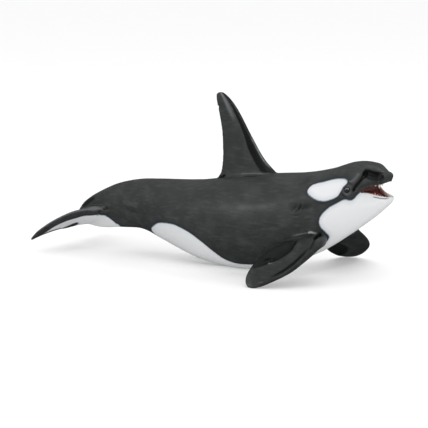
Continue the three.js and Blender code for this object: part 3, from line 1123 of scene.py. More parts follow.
@dataclass(frozen=True)
class FinPaintedLight:
    """Painted light on the fin: a band of painted dark reflection behind the leading edge.

    A painted highlight lies on the rim before the band, a painted highlight streak behind it, and a faint
    painted sheen, the glow. Widths and places are shares of the chord, but for the glow's level and height.
    The ramps run over heights or, where named so, over the chord, and skin is how far off the fin's form the
    paint reaches.
    """

    skin: float = 1.5
    above_back: Ramp = Ramp(46.0, 48.5)
    band: float = 1.1
    band_width: float = 0.2
    narrowing: tuple[tuple[float, Ramp], ...] = ((0.05, Ramp(58.0, 66.0)), (0.03, Ramp(74.0, 79.0)))
    front_chord: Ramp = Ramp(-0.022, 0.008)
    rear_chord: Ramp = Ramp(0.03, -0.04)
    rim: float = 0.6
    rim_width: float = 0.018
    rim_room: float = 0.03
    rim_top: Ramp = Ramp(65.5, 61.5)
    rim_foot: Ramp = Ramp(48.0, 51.0)
    streak: float = 1.05
    streak_at: float = 0.33
    streak_width: float = 0.13
    streak_heights: Ramp = Ramp(66.0, 80.0)
    glow: float = 0.15
    glow_chord: float = 0.29
    glow_width: float = 0.09
    glow_level: float = 54.0
    glow_height: float = 6.0

    def painted_light(self, distance: Array, chart: Array) -> Array:
        """Works the painted light out.

        Args:
            distance: How far each point is from the fin's form.
            chart: The height, the share of the chord and the face.

        Returns:
            The painted light at each point, negative for painted shade and positive for painted highlights.
        """
        height, chord, _ = chart.T
        here = (np.abs(distance) < self.skin) * self.above_back.of(height)
        width = self.band_width
        for less, heights in self.narrowing:
            width = width - less * heights.of(height)
        bare = self.rim_top.of(height) * self.rim_foot.of(height)
        band = self.front_chord.of(chord - self.rim_room * bare) * self.rear_chord.of(chord - width)
        rim = bell(chord, self.rim_width) * bare
        streak = bell(chord - self.streak_at, self.streak_width) * self.streak_heights.of(height)
        glow = bell(chord - self.glow_chord, self.glow_width)
        glow = glow * bell(height - self.glow_level, self.glow_height)
        return here * (self.rim * rim - self.band * band + self.streak * streak + self.glow * glow)


@dataclass(frozen=True)
class FlukeEdgeHighlight:
    """The painted highlight along a fluke's leading edge, over shares of its span and chord."""

    edge_highlight: float = 0.75
    skin: Ramp = Ramp(1.6, 0.8)
    from_root: Ramp = Ramp(0.05, 0.2)
    to_tip: Ramp = Ramp(1.0, 0.6)
    upper_width: float = 0.09
    lower_width: float = 0.022

    def painted_light(self, distance: Array, chart: Array) -> Array:
        """Works the painted highlight out.

        Args:
            distance: How far each point is from the fluke's form.
            chart: The share of the span, the share of the chord and the face.

        Returns:
            The painted highlight at each point.
        """
        span, chord, face = chart.T
        here = self.skin.of(np.abs(distance)) * self.from_root.of(span) * self.to_tip.of(span)
        width = np.where(face > 0, self.upper_width, self.lower_width)
        return self.edge_highlight * here * bell(chord, width)


@dataclass(frozen=True)
class MouthPaint:
    """Where the mouth is red, except on the lower lip's inside and the upper lip's tip, and its painted
    shade.

    The ramps named x run over x, those named depth over the depth inside the body's form, and those named
    drop over the height below the lower lip. half runs over the height below the mouth's middle.
    """

    low: Point = (-14.5, -12.5, 36.0)
    high: Point = (4.0, 12.5, 51.5)
    half: Ramp = Ramp(-0.4, 0.4)
    lip: float = 2.0
    lip_x: Ramp = Ramp(-12.0, -8.5)
    lip_drop: Ramp = Ramp(2.1, 1.5)
    tip: float = 1.6
    tip_x: Ramp = Ramp(-5.0, -3.5)
    line: float = 0.35
    line_depth: Ramp = Ramp(0.3, 0.7)
    line_x: Ramp = Ramp(-10.0, -6.5)
    floor_depth: Ramp = Ramp(0.8, 1.2)
    floor_x: Ramp = Ramp(-6.2, -5.0)
    floor_drop: Ramp = Ramp(0.2, 0.6)

    def fields(self, points: Array, distance: Array, mouth: Mouth) -> tuple[Array, Array]:
        """Works the paint's fields out.

        Args:
            points: The places of the vertices.
            distance: How far each is from the body's form.
            mouth: The mouth.

        Returns:
            How deep each point lies in the red, in millimetres, and how strong its painted shade is from 0 to
            1, as the line behind the lower lip or as the front of the mouth's floor.
        """
        x = points[:, 0]
        inside = ((points > np.array(self.low)) & (points < np.array(self.high))).all(1)
        depth = np.where(inside, np.maximum(-distance, 0), 0.0)
        lower = self.half.of(mouth.middle(x) - points[:, 2])
        drop = mouth.lip(False, x) - points[:, 2]
        lip = self.lip_x.of(x) * lower * self.lip_drop.of(drop)
        tip = self.tip_x.of(x) * (1 - lower)
        # Painted shade in the gap behind the lower lip and at the front of the mouth's floor.
        line = self.line * self.line_depth.of(depth) * self.line_x.of(x) * lower
        floor = self.floor_depth.of(depth) * self.floor_x.of(x) * self.floor_drop.of(drop)
        return depth - np.maximum(self.lip * lip, self.tip * tip), np.maximum(line, floor)


@dataclass(frozen=True)
class Markings:
    """The white markings, as outlines on the body's chart and on the chart of a fluke's lower face.

    A fluke's outline is in shares of its span and chord, which fluke_size turns into millimetres. The upper
    jaw in front of the mouth's corner and above the chin is black down to the middle between the lips.
    fluke_top and limb are the distances that the all-black faces and limbs get.
    """

    bib: tuple[Flat, ...] = (
        (6.0, 14.0), (0.0, 14.5), (-5.0, 15.0), (-9.0, 17.0), (-11.6, 18.3), (-14.2, 18.3), (-15.8, 19.2),
        (-17.7, 21.3), (-20.4, 22.3), (-24.9, 23.4), (-28.7, 22.9), (-30.4, 21.4), (-30.8, 18.8),
        (-30.3, 16.0), (-30.1, 12.7), (-30.8, 10.8), (-33.6, 9.1), (-37.6, 8.8), (-46.0, 10.0),
        (-57.0, 12.4), (-68.4, 13.6), (-75.6, 14.4), (-81.1, 16.8), (-86.2, 21.0), (-92.1, 24.6),
        (-99.2, 26.5), (-107.1, 25.7), (-113.9, 22.5), (-119.5, 18.9), (-123.6, 14.6), (-125.9, 11.4),
        (-126.6, 8.6), (-124.8, 6.0), (-120.5, 4.9), (-113.0, 5.8), (-106.0, 6.7), (-98.0, 6.8),
        (-91.0, 6.0), (-86.4, 4.6), (-85.4, 3.3), (-87.6, 2.5), (-94.0, 2.3), (-104.0, 2.2), (-115.0, 1.9),
        (-122.0, 1.2), (-124.0, 0.0), (-124.0, -40.0), (6.0, -40.0),
    )
    stock: tuple[Flat, ...] = (
        (-151.4, -30.0), (-151.6, 0.0), (-153.0, 4.0), (-155.6, 7.0), (-159.2, 8.9), (-165.0, 9.4),
        (-170.0, 7.8), (-174.0, 4.8), (-178.0, 2.6), (-184.0, 2.0), (-184.0, -30.0),
    )
    eye_patch: tuple[Flat, ...] = (
        (-33.2, 37.6), (-31.0, 39.3), (-25.2, 36.3), (-20.6, 33.7), (-16.2, 29.8), (-15.0, 27.1),
        (-16.9, 26.5), (-18.6, 25.6), (-20.5, 25.1), (-24.8, 26.9), (-27.8, 29.2), (-30.9, 33.1),
    )
    fluke: tuple[Flat, ...] = (
        (-0.2, 0.14), (0.1, 0.14), (0.2, 0.18), (0.28, 0.22), (0.36, 0.31), (0.46, 0.36), (0.58, 0.43),
        (0.68, 0.6), (0.74, 0.7), (0.69, 0.72), (0.6, 0.76), (0.45, 0.85), (0.36, 0.89), (0.3, 0.72),
        (0.24, 0.55), (0.17, 0.65), (0.12, 0.87), (-0.2, 0.93),
    )
    fluke_size: Flat = (46.0, 18.0)
    chin: float = 36.0
    fluke_top: float = -2.0
    limb: float = -1.0

    def white(self, points: Array, near: Reading, mouth: Mouth) -> Array:
        """Gives how far each point lies inside the white markings.

        Args:
            points: The places of the vertices.
            near: Where they lie on each form.
            mouth: The mouth.

        Returns:
            The distances in millimetres, negative outside the markings.
        """
        distance, chart = near[Form.BODY]
        nearest = np.abs(distance)
        field = signed_distance(chart, self.bib)
        upper_jaw = (points[:, 0] > mouth.upper[0][0]) & (points[:, 2] > self.chin)
        below = mouth.middle(points[:, 0]) - points[:, 2]
        field = np.where(upper_jaw, np.minimum(field, below), field)
        for outline in (self.stock, self.eye_patch):
            field = np.maximum(field, signed_distance(chart, outline))
        fluke = tuple((t * self.fluke_size[0], c * self.fluke_size[1]) for t, c in self.fluke)
        for form in LIMBS:
            distance, drawn = near[form]
            here = np.abs(distance) < nearest
            if form in FLUKES:
                inside = signed_distance(drawn[:, :2] * self.fluke_size, fluke)
                field[here] = np.where(drawn[:, 2] < 0, inside, self.fluke_top)[here]
            else:
                field[here] = np.minimum(field[here], self.limb)
            nearest = np.where(here, np.abs(distance), nearest)
        return field


@dataclass(frozen=True)
class Lids:
    """The hollow that an eye sits in, the raised rim of its lids and the fold round them.

    Radii are measured from the line along which the left eye looks out.
    """

    eye: Point = (-16.5, 12.7, 44.8)
    gaze: Point = (0.2, 0.97, 0.12)
    reach: float = 6.0
    socket: Ramp = Ramp(0.9, 1.55)
    socket_depth: float = -1.2
    rim_radius: float = 1.85
    rim_height: float = 0.09
    fold_radius: float = 3.0
    fold_height: float = -0.15
    width: float = 0.45

    def rings(self, points: Array, side: Side) -> Array:
        """Works the lids of one eye out.

        Args:
            points: The places of the vertices.
            side: The figure's side.

        Returns:
            How far each point is raised.
        """
        mirror = (1, side.value, 1)
        arm = points - np.array(self.eye) * mirror
        gaze = np.array(self.gaze) * mirror
        off_axis = np.linalg.norm(arm - (arm @ gaze)[:, None] * gaze, axis=1)
        near = np.linalg.norm(arm, axis=1) < self.reach
        socket = self.socket_depth * (1 - self.socket.of(off_axis))
        rim = self.rim_height * bell(off_axis - self.rim_radius, self.width)
        return near * (socket + rim + self.fold_height * bell(off_axis - self.fold_radius, self.width))


@dataclass(frozen=True)
class Skin:
    """The whole outer skin: one moulding with its mouth open, its creases, and the fields its paint follows.

    seams holds how wide each form's root is rounded, and blending how wide the smaller swellings' edges are.
    uneven holds the wavelengths and heights of the hand-shaped unevenness, which stops at flat_below.
    """

    pitch: float = 0.3
    quick_pitch: float = 0.5
    polishing: int = 3
    body_reach: float = 30.0
    limb_reach: float = 5.0
    seams: tuple[float, ...] = (0.0, 1.2, 1.9, 1.9, 1.7, 1.7)
    blending: float = 0.6
    seam_rise: Ramp = Ramp(0.0, 0.7)
    seam_pull: float = 0.6
    seam_rounds: int = 26
    inner_from: float = 0.3
    drawn_from: Point = (0.52, -0.834, 0.182)
    lay_reach: float = 4.0
    flipper_up: Point = (-0.05, -0.7, 0.7)
    flipper_lean: float = -0.2
    uneven: tuple[Flat, ...] = ((13.0, 0.16), (5.0, 0.05), (1.7, 0.014))
    flat_below: float = 0.8
    eyelids: Egg = Egg(at=(-17.2, 11.4, 43.6), size=(4.0, 2.2, 3.8))
    beak: Egg = Egg(at=(-6.0, 0.0, 49.1), size=(6.6, 3.4, 3.2), tilt=22.0)
    bridge: Egg = Egg(at=(-3.6, 0.0, 50.9), size=(2.8, 3.0, 2.0))
    web: Egg = Egg(at=(-166.5, 5.6, 19.3), size=(9.0, 4.8, 2.6), tilt=14.0)
    lids: Lids = Lids()
    trough: FlipperTrough = FlipperTrough()
    fin_painted_light: FinPaintedLight = FinPaintedLight()
    fluke_edge_highlight: FlukeEdgeHighlight = FlukeEdgeHighlight()
    mouth_paint: MouthPaint = MouthPaint()
    markings: Markings = Markings()

    def build(self, body: Body, fin: DorsalFin, place: Placement) -> bpy.types.Object:
        """Makes the skin.

        Args:
            body: The body's form, with the mouth that is cut into it.
            fin: The dorsal fin's form.
            place: Where the drawing lies in the frame.

        Returns:
            The skin, with its paint's fields, in the frame.
        """
        surfaces = {
            Form.BODY: body.surface(),
            Form.FIN: fin.surface(),
            Form.FLIPPER_RIGHT: FLIPPER_RIGHT.surface(),
            Form.FLIPPER_LEFT: FLIPPER_LEFT.surface(),
            Form.FLUKE_RIGHT: FLUKE.surface(),
            Form.FLUKE_LEFT: FLUKE.surface(mirrored=True),
        }
        skin = self.moulding(surfaces, body)
        relaxer = Relaxer(skin.data)
        points = relaxer.polish(numbers(skin.data.vertices, "co", 3).astype(float), self.polishing)
        near = {
            form: surface.read(points, self.body_reach if form is Form.BODY else self.limb_reach)
            for form, surface in surfaces.items()
        }
        points = self.fillet(points, near, relaxer)
        red, line = self.mouth_paint.fields(points, near[Form.BODY][0], body.mouth)
        relief, painted_light = self.sculpt(skin, points, near, red > self.inner_from)
        normals = numbers(skin.data.vertices, "normal", 3).astype(float)
        points = relaxer.polish(points + normals * relief[:, None], 1)
        points[:, 2] = np.maximum(points[:, 2], 0.0)
        white = self.markings.white(points, near, body.mouth)
        # The relief attribute holds the painted light: painted shade in hollows and painted highlights on
        # ridges.
        for name, values in {"white": white, "mouth": red, "line": line, "relief": painted_light}.items():
            keep_numbers(skin, name, values)
        self.move(skin, place.metres(points))
        skin.data.polygons.foreach_set("use_smooth", np.ones(len(skin.data.polygons), bool))
        return skin

    def moulding(self, surfaces: dict[Form, Surface], body: Body) -> bpy.types.Object:
        """Joins the forms into one closed surface with faces of even size.

        Args:
            surfaces: The forms' surfaces.
            body: The body's form.

        Returns:
            The moulding, with its mouth open.
        """
        whole = surfaces[Form.BODY].solid("skin")
        combine(whole, self.beak.solid("beak"), Change.ADD)
        combine(whole, self.bridge.solid("bridge"), Change.ADD)
        for side in Side:
            combine(whole, self.eyelids.solid("lid", side), Change.ADD)
            combine(whole, self.web.solid("web", side), Change.ADD)
        body.mouth.cut(whole, body)
        for form in LIMBS:
            combine(whole, surfaces[form].solid(form.name.lower()), Change.ADD)
        remesh = whole.modifiers.new("even", "REMESH")
        remesh.mode = "VOXEL"
        remesh.voxel_size = self.pitch
        apply_modifiers(whole)
        return whole

    def fillet(self, points: Array, near: Reading, relaxer: Relaxer) -> Array:
        """Rounds the seams where fin, flippers, flukes and the smaller swellings grow from the body.

        Args:
            points: The places of the vertices.
            near: Where they lie on each form.
            relaxer: The skin's smoother.

        Returns:
            The new places.
        """
        weight = np.zeros(len(points))
        for form in LIMBS:
            gap = np.maximum(np.abs(near[Form.BODY][0]), np.abs(near[form][0]))
            weight = np.maximum(weight, 1 - gap / self.seams[form.value])
        for egg in (self.eyelids, self.beak, self.bridge, self.web):
            weight = np.maximum(weight, 1 - egg.gap(points) / self.blending)
        return relaxer.relax(points, self.seam_rise.of(weight) * self.seam_pull, self.seam_rounds)

    def sculpt(
        self, skin: bpy.types.Object, points: Array, near: Reading, inner: Array
    ) -> tuple[Array, Array]:
        """Works out the creases, the ridges and a hand-shaped unevenness.

        Args:
            skin: The skin, for its normals.
            points: The places of its vertices.
            near: Where the points lie on each form.
            inner: Which points lie inside the mouth.

        Returns:
            How far each point is raised, and its painted light: painted shade in hollows and painted
            highlights on ridges, with the strokes' and limbs' painted shade and highlights added.
        """
        self.move(skin, points)
        normals = numbers(skin.data.vertices, "normal", 3).astype(float)
        faces = numbers(skin.data.polygons, "vertices", 4, np.int32)
        tree = BVHTree.FromPolygons(points.tolist(), faces.tolist())
        relief, shade = np.zeros(len(points)), np.zeros(len(points))
        for side in Side:
            for stroke in STROKES:
                self.add_stroke(relief, shade, points, stroke, side, tree)
            for swelling in SWELLINGS:
                at = np.array(swelling.at) * (1, -side.value, 1)
                gap = np.linalg.norm((points - at) / swelling.size, axis=1)
                relief += swelling.height * bell(gap, 1.0)
            relief += self.lids.rings(points, side)
        upper = normals @ np.array(self.flipper_up) > self.flipper_lean
        for stroke in FLIPPER_STROKES:
            self.add_stroke(relief, shade, points, stroke, Side.RIGHT, tree, upper)
        shade += self.fin_painted_light.painted_light(*near[Form.FIN])
        for form in FLUKES:
            shade += self.fluke_edge_highlight.painted_light(*near[form])
        for form in FLIPPERS:
            scoop, dark = self.trough.carve(*near[form])
            relief += scoop
            shade += dark
        relief[inner] = 0
        # Painted light follows the relief, darker in hollows and lighter on ridges, plus painted shade and
        # highlights.
        painted_light = relief + shade
        rough = np.zeros(len(points))
        for wave, height in self.uneven:
            rough += [height * noise.noise(p) for p in (points / wave).tolist()]
        rough[inner | (points[:, 2] < self.flat_below)] = 0
        return relief + rough, painted_light

    def add_stroke(
        self, relief: Array, shade: Array, points: Array, stroke: Stroke, side: Side, tree: BVHTree,
        where: Array | None = None
    ) -> None:
        """Adds one crease or ridge.

        Args:
            relief: How far each point is raised, which is changed.
            shade: How much further it counts for the paint, which is changed.
            points: The places of the vertices.
            stroke: The crease or ridge.
            side: The side of the figure that it is drawn on.
            tree: The skin, which the stroke is laid on.
            where: Which points it may move, or None for all.
        """
        line = self.laid(path(stroke.line, side), side, tree)
        reach = 3 * stroke.width
        near = ((points > line.min(0) - reach) & (points < line.max(0) + reach)).all(1)
        if where is not None:
            near &= where
        index = np.flatnonzero(near)
        gap, share = distance_to_path(points[index], line)
        strength = bell(gap, stroke.width) * stroke.fade(share)
        relief[index] += stroke.height * strength
        shade[index] += stroke.shade * strength

    def laid(self, line: Array, side: Side, tree: BVHTree) -> Array:
        """Moves a line's points onto the skin, along the direction that they were drawn from.

        Args:
            line: The points.
            side: The side of the figure.
            tree: The skin.

        Returns:
            The points on the skin.
        """
        towards = Vector(self.drawn_from) * Vector((1, -side.value, 1))
        found = []
        for p in line.tolist():
            hit = tree.ray_cast(Vector(p) + towards * self.lay_reach, -towards, 2 * self.lay_reach)[0]
            found.append(hit or tree.find_nearest(p)[0])
        return np.array(found)

    def move(self, skin: bpy.types.Object, points: Array) -> None:
        """Moves the skin's vertices."""
        skin.data.vertices.foreach_set("co", points.astype(np.float32).ravel())
        skin.data.update()


def keep_numbers(piece: bpy.types.Object, name: str, values: Array) -> None:
    """Keeps one number for each vertex of a piece under a name, for its paint."""
    layer = piece.data.attributes.new(name, "FLOAT", "POINT")
    layer.data.foreach_set("value", values.astype(np.float32))


def soften(target: bpy.types.Object) -> bpy.types.Object:
    """Subdivides an object once, shades it smooth and turns its faces out.

    Args:
        target: The object.

    Returns:
        The same object.
    """
    step = target.modifiers.new("soften", "SUBSURF")
    step.levels = step.render_levels = 1
    apply_modifiers(target)
    target.data.polygons.foreach_set("use_smooth", np.ones(len(target.data.polygons), bool))
    return outward(target)


@dataclass(frozen=True)
class Teeth:
    """One jaw's conical teeth, set on the lip's line a little inside the outer surface.

    shown gives how far a tooth stands out of the gum at each x, from the back to the front. They stand from
    back to front on the right side and, where the left one differs, to left_front on the left. half is how
    many there are on either side, profile the heights and widths of a tooth's rings as shares of its own,
    and bend how far its tip leans forward.
    """

    name: str
    upper: bool
    seed: int
    half: int
    shown: tuple[Flat, ...]
    radius: float = 0.52
    sunk: float = 0.9
    inset: float = 1.0
    front: float = -1.0
    left_front: float = -1.0
    back: float = -10.6
    behind: float = 3.0
    middle_gap: float = 0.35
    lean: float = 8.0
    leaning: Flat = (-0.3, 1.0)
    spread: float = 0.16
    bend: float = 0.15
    sides: int = 12
    profile: tuple[Flat, ...] = (
        (0.0, 1.05), (0.35, 1.0), (0.62, 0.84), (0.82, 0.6), (0.94, 0.36), (1.0, 0.1),
    )

    def row(self, body: Surface, mouth: Mouth) -> Array:
        """Finds the line that the teeth stand on.

        Args:
            body: The body's surface.
            mouth: The mouth.

        Returns:
            The line's points, from the right side round the front to the left.
        """
        middle = body.points.shape[1] // 2
        right = body.points[:, middle:]
        above = right[:, :, 2] - mouth.lip(self.upper, right[:, :, 0].ravel()).reshape(right.shape[:2])
        line = []
        for ring, height in zip(right, above):
            crossed = np.flatnonzero((height[:-1] < 0) & (height[1:] >= 0))
            if len(crossed):
                k = crossed[0]
                t = -height[k] / (height[k + 1] - height[k])
                line.append(ring[k] * (1 - t) + ring[k + 1] * t)
        line = np.array(line)
        line = line[line[:, 0] > self.back - self.behind]
        normal = np.stack([-np.gradient(line[:, 1]), np.gradient(line[:, 0])], 1)
        normal /= np.linalg.norm(normal, axis=1)[:, None]
        normal *= np.sign((normal * (line[0, :2] * (1, 0) - line[:, :2])).sum(1))[:, None]
        line[:, :2] += normal * self.inset
        line = line[(line[:, 1] < -self.middle_gap) & (line[:, 0] < self.front) & (line[:, 0] > self.back)]
        left = line[line[:, 0] < self.left_front] * (1, -1, 1)
        return np.vstack([line, left[::-1]])

    def tooth(self, length: float) -> tuple[Array, list]:
        """Makes one tooth, standing on its root with a rounded and slightly bent tip.

        Args:
            length: How far it stands out of the gum.

        Returns:
            The points and the faces.
        """
        angle = np.arange(self.sides) / self.sides * 2 * np.pi
        full = length + self.sunk
        rings = []
        for high, wide in self.profile:
            x = self.radius * wide * np.cos(angle) - self.bend * high**2
            y = self.radius * wide * np.sin(angle)
            rings.append(np.stack([x, y, np.full(self.sides, full * high - self.sunk)], 1))
        points = np.vstack(rings)
        faces = ring_faces(len(rings), self.sides)
        faces.append(list(range(self.sides))[::-1])
        faces.append(list(range(len(points) - self.sides, len(points))))
        return points, faces

    def build(self, body: Surface, mouth: Mouth, place: Placement) -> bpy.types.Object:
        """Makes the teeth.

        Args:
            body: The body's surface.
            mouth: The mouth.
            place: Where the drawing lies in the frame.

        Returns:
            All the teeth as one mesh, which keeps how far back each one stands.
        """
        draw = np.random.default_rng(self.seed)
        line = self.row(body, mouth)
        travelled = np.concatenate([[0], np.cumsum(np.linalg.norm(np.diff(line, axis=0), axis=1))])
        shown = np.array(self.shown)
        points, faces, back = [], [], []
        for i in range(2 * self.half):
            share = (i + 0.5) / (2 * self.half)
            spot = np.array([np.interp(share * travelled[-1], travelled, line[:, k]) for k in range(3)])
            length = np.interp(spot[0], shown[:, 0], shown[:, 1]) * (1 + self.spread * draw.uniform(-1, 1))
            tooth, tooth_faces = self.tooth(length)
            tooth = turned(tooth, -self.lean * draw.uniform(*self.leaning))
            if self.upper:
                tooth[:, 2] *= -1
                tooth_faces = [face[::-1] for face in tooth_faces]
            start = i * len(tooth)
            faces += [[v + start for v in face] for face in tooth_faces]
            points.append(tooth + spot)
            back += [-spot[0]] * len(tooth)
        made = mesh_object(self.name, place.metres(np.vstack(points)), faces)
        keep_numbers(made, "back", np.array(back))
        return soften(made)


UPPER_TEETH = Teeth(
    "upper_teeth", upper=True, seed=12, half=7, front=-3.4, left_front=-9.5,
    shown=((-10.6, 0.3), (-6.5, 0.4), (-5.4, 0.6), (-4.4, 1.7), (-3.4, 1.5)),
)
LOWER_TEETH = Teeth(
    "lower_teeth", upper=False, seed=11, half=11, radius=0.6,
    shown=((-10.6, 0.1), (-8.0, 0.4), (-6.4, 0.8), (-5.6, 0.6), (-4.6, 0.2), (-1.0, 0.25)),
)


@dataclass(frozen=True)
class Tongue:
    """The tongue, a thick pad with a groove along its middle, a rounded tip and a slightly wavy top."""

    at: Point = (-10.7, 0.0, 41.4)
    size: Point = (5.2, 4.2, 1.35)
    fullness: Point = (0.85, 0.85, 1.0)
    tilt: float = -8.0
    groove: float = 0.45
    groove_width: float = 0.8
    wave: float = 0.12
    wave_turn: float = 1.9

    def build(self, place: Placement) -> bpy.types.Object:
        """Makes the tongue.

        Args:
            place: Where the drawing lies in the frame.

        Returns:
            The tongue in the frame.
        """
        points, faces = ball(rows=24, columns=48)
        points = powered(points, np.array(self.fullness)) * self.size
        top = points[:, 2] > 0
        points[:, 2] -= top * self.groove * bell(points[:, 1], self.groove_width)
        points[:, 2] += self.wave * np.sin(points[:, 0] * self.wave_turn) * top
        return soften(mesh_object("tongue_pad", place.metres(turned(points, self.tilt) + self.at), faces))


@dataclass(frozen=True)
class Eye:
    """A glossy bead set in the lids, flattened a little where it looks out."""

    at: Point = (-16.5, 12.4, 44.8)
    radius: float = 1.3
    flat_from: float = 0.97
    out: float = 0.45

    def build(self, side: Side, place: Placement) -> bpy.types.Object:
        """Makes one eye.

        Args:
            side: The figure's side.
            place: Where the drawing lies in the frame.

        Returns:
            The eye in the frame.
        """
        points, faces = ball(rows=32, columns=48)
        points = points[:, [0, 2, 1]] * self.radius
        points[:, 1] = np.minimum(points[:, 1], self.flat_from * self.radius) * side.value
        centre = (np.array(self.at) + (0, self.out, 0)) * (1, side.value, 1)
        return soften(mesh_object(f"eye_bead_{side.name.lower()}", place.metres(points + centre), faces))


class Coat(NamedTuple):
    """A colour that covers what lies under it, up to a share of most, as a number runs over a ramp."""

    number: object
    over: Ramp
    colour: object
    most: float = 1.0


class Nodes:
    """Builds the nodes of one material or of the light tent."""

    def __init__(self, owner: bpy.types.Material | bpy.types.World) -> None:
        """Starts from the owner's one surface.

        Args:
            owner: The material or the world.
        """
        owner.use_nodes = True
        self.owner = owner
        self.tree = owner.node_tree
        self.surface = self.tree.nodes.get("Principled BSDF") or self.tree.nodes["Background"]
        self.places = self.add("ShaderNodeTexCoord").outputs

    def add(self, kind: str, **settings: object) -> bpy.types.Node:
        """Adds a node.

        Args:
            kind: The node's type.
            settings: Its properties.

        Returns:
            The node.
        """
        node = self.tree.nodes.new(kind)
        for name, value in settings.items():
            setattr(node, name, value)
        return node

    def feed(self, kind: str, sources: dict, **settings: object) -> bpy.types.Node:
        """Adds a node and feeds it.

        Args:
            kind: The node's type.
            sources: What its sockets get, by their names or numbers.
            settings: Its properties.

        Returns:
            The node.
        """
        node = self.add(kind, **settings)
        for key, source in sources.items():
            self.join(source, node.inputs[key])
        return node

    def join(self, source: object, target: bpy.types.NodeSocket) -> None:
        """Feeds a socket.

        Args:
            source: Another socket, a number, a vector or a colour.
            target: The socket.
        """
        if isinstance(source, bpy.types.NodeSocket):
            self.tree.links.new(source, target)
        elif hasattr(source, "__len__") and len(source) == 3 and len(target.default_value) == 4:
            target.default_value = (*source, 1.0)
        else:
            target.default_value = source

    def attribute(self, name: str) -> bpy.types.NodeSocket:
        """Reads a number that the mesh keeps for each vertex."""
        return self.add("ShaderNodeAttribute", attribute_name=name).outputs["Fac"]

    def maths(self, operation: str, *values: object) -> bpy.types.NodeSocket:
        """Works out a number from others."""
        return self.feed("ShaderNodeMath", dict(enumerate(values)), operation=operation).outputs[0]

    def between(self, value: object, ramp: Ramp, low: float = 0.0, high: float = 1.0) -> bpy.types.NodeSocket:
        """Carries a number smoothly from a ramp's start and end to a low and a high result."""
        sources = dict(enumerate((value, *ramp, low, high)))
        return self.feed("ShaderNodeMapRange", sources, interpolation_type="SMOOTHSTEP").outputs[0]

    def axis(self, name: str, system: str = "Object") -> bpy.types.NodeSocket:
        """Gives one coordinate, X, Y or Z, of the Object ones in metres or the Generated ones of the tent."""
        return self.feed("ShaderNodeSeparateXYZ", {0: self.places[system]}).outputs[name]

    def grain(self, size: float, detail: float = 3.0, stretch: Point = (1, 1, 1)) -> bpy.types.NodeSocket:
        """Gives a cloudy number about 0.5.

        Args:
            size: Its spots' size in millimetres.
            detail: How many finer layers it has.
            stretch: How closely it is packed along each axis, less where the spots are longer.

        Returns:
            The number.
        """
        mapped = self.feed("ShaderNodeMapping", {"Vector": self.places["Object"], "Scale": stretch})
        sources = {"Vector": mapped.outputs[0], "Scale": 1 / (size * MM), "Detail": detail}
        return self.feed("ShaderNodeTexNoise", sources).outputs[0]

    def blend(self, share: object, first: object, second: object) -> bpy.types.NodeSocket:
        """Mixes two colours by the second one's share."""
        return self.feed("ShaderNodeMix", {0: share, 6: first, 7: second}, data_type="RGBA").outputs[2]

    def coat(self, base: object, *coats: Coat) -> object:
        """Lays coats over a colour.

        Args:
            base: The colour.
            coats: The coats in order.

        Returns:
            The colour of the whole.
        """
        for number, over, colour, most in coats:
            base = self.blend(self.between(number, over, 0.0, most), base, colour)
        return base

    def bump(self, height: object, depth: float) -> None:
        """Roughens the surface by a height, of which 1 is a depth in millimetres."""
        sources = {"Height": height, "Strength": 1.0, "Distance": depth * MM}
        self.join(self.feed("ShaderNodeBump", sources).outputs[0], self.surface.inputs["Normal"])

    def set(self, **values: object) -> bpy.types.Material | bpy.types.World:
        """Sets or feeds the surface's own sockets.

        Args:
            values: What each socket gets, by its name with underscores.

        Returns:
            The material or the world.
        """
        for name, value in values.items():
            self.join(value, self.surface.inputs[name.replace("_", " ")])
        return self.owner


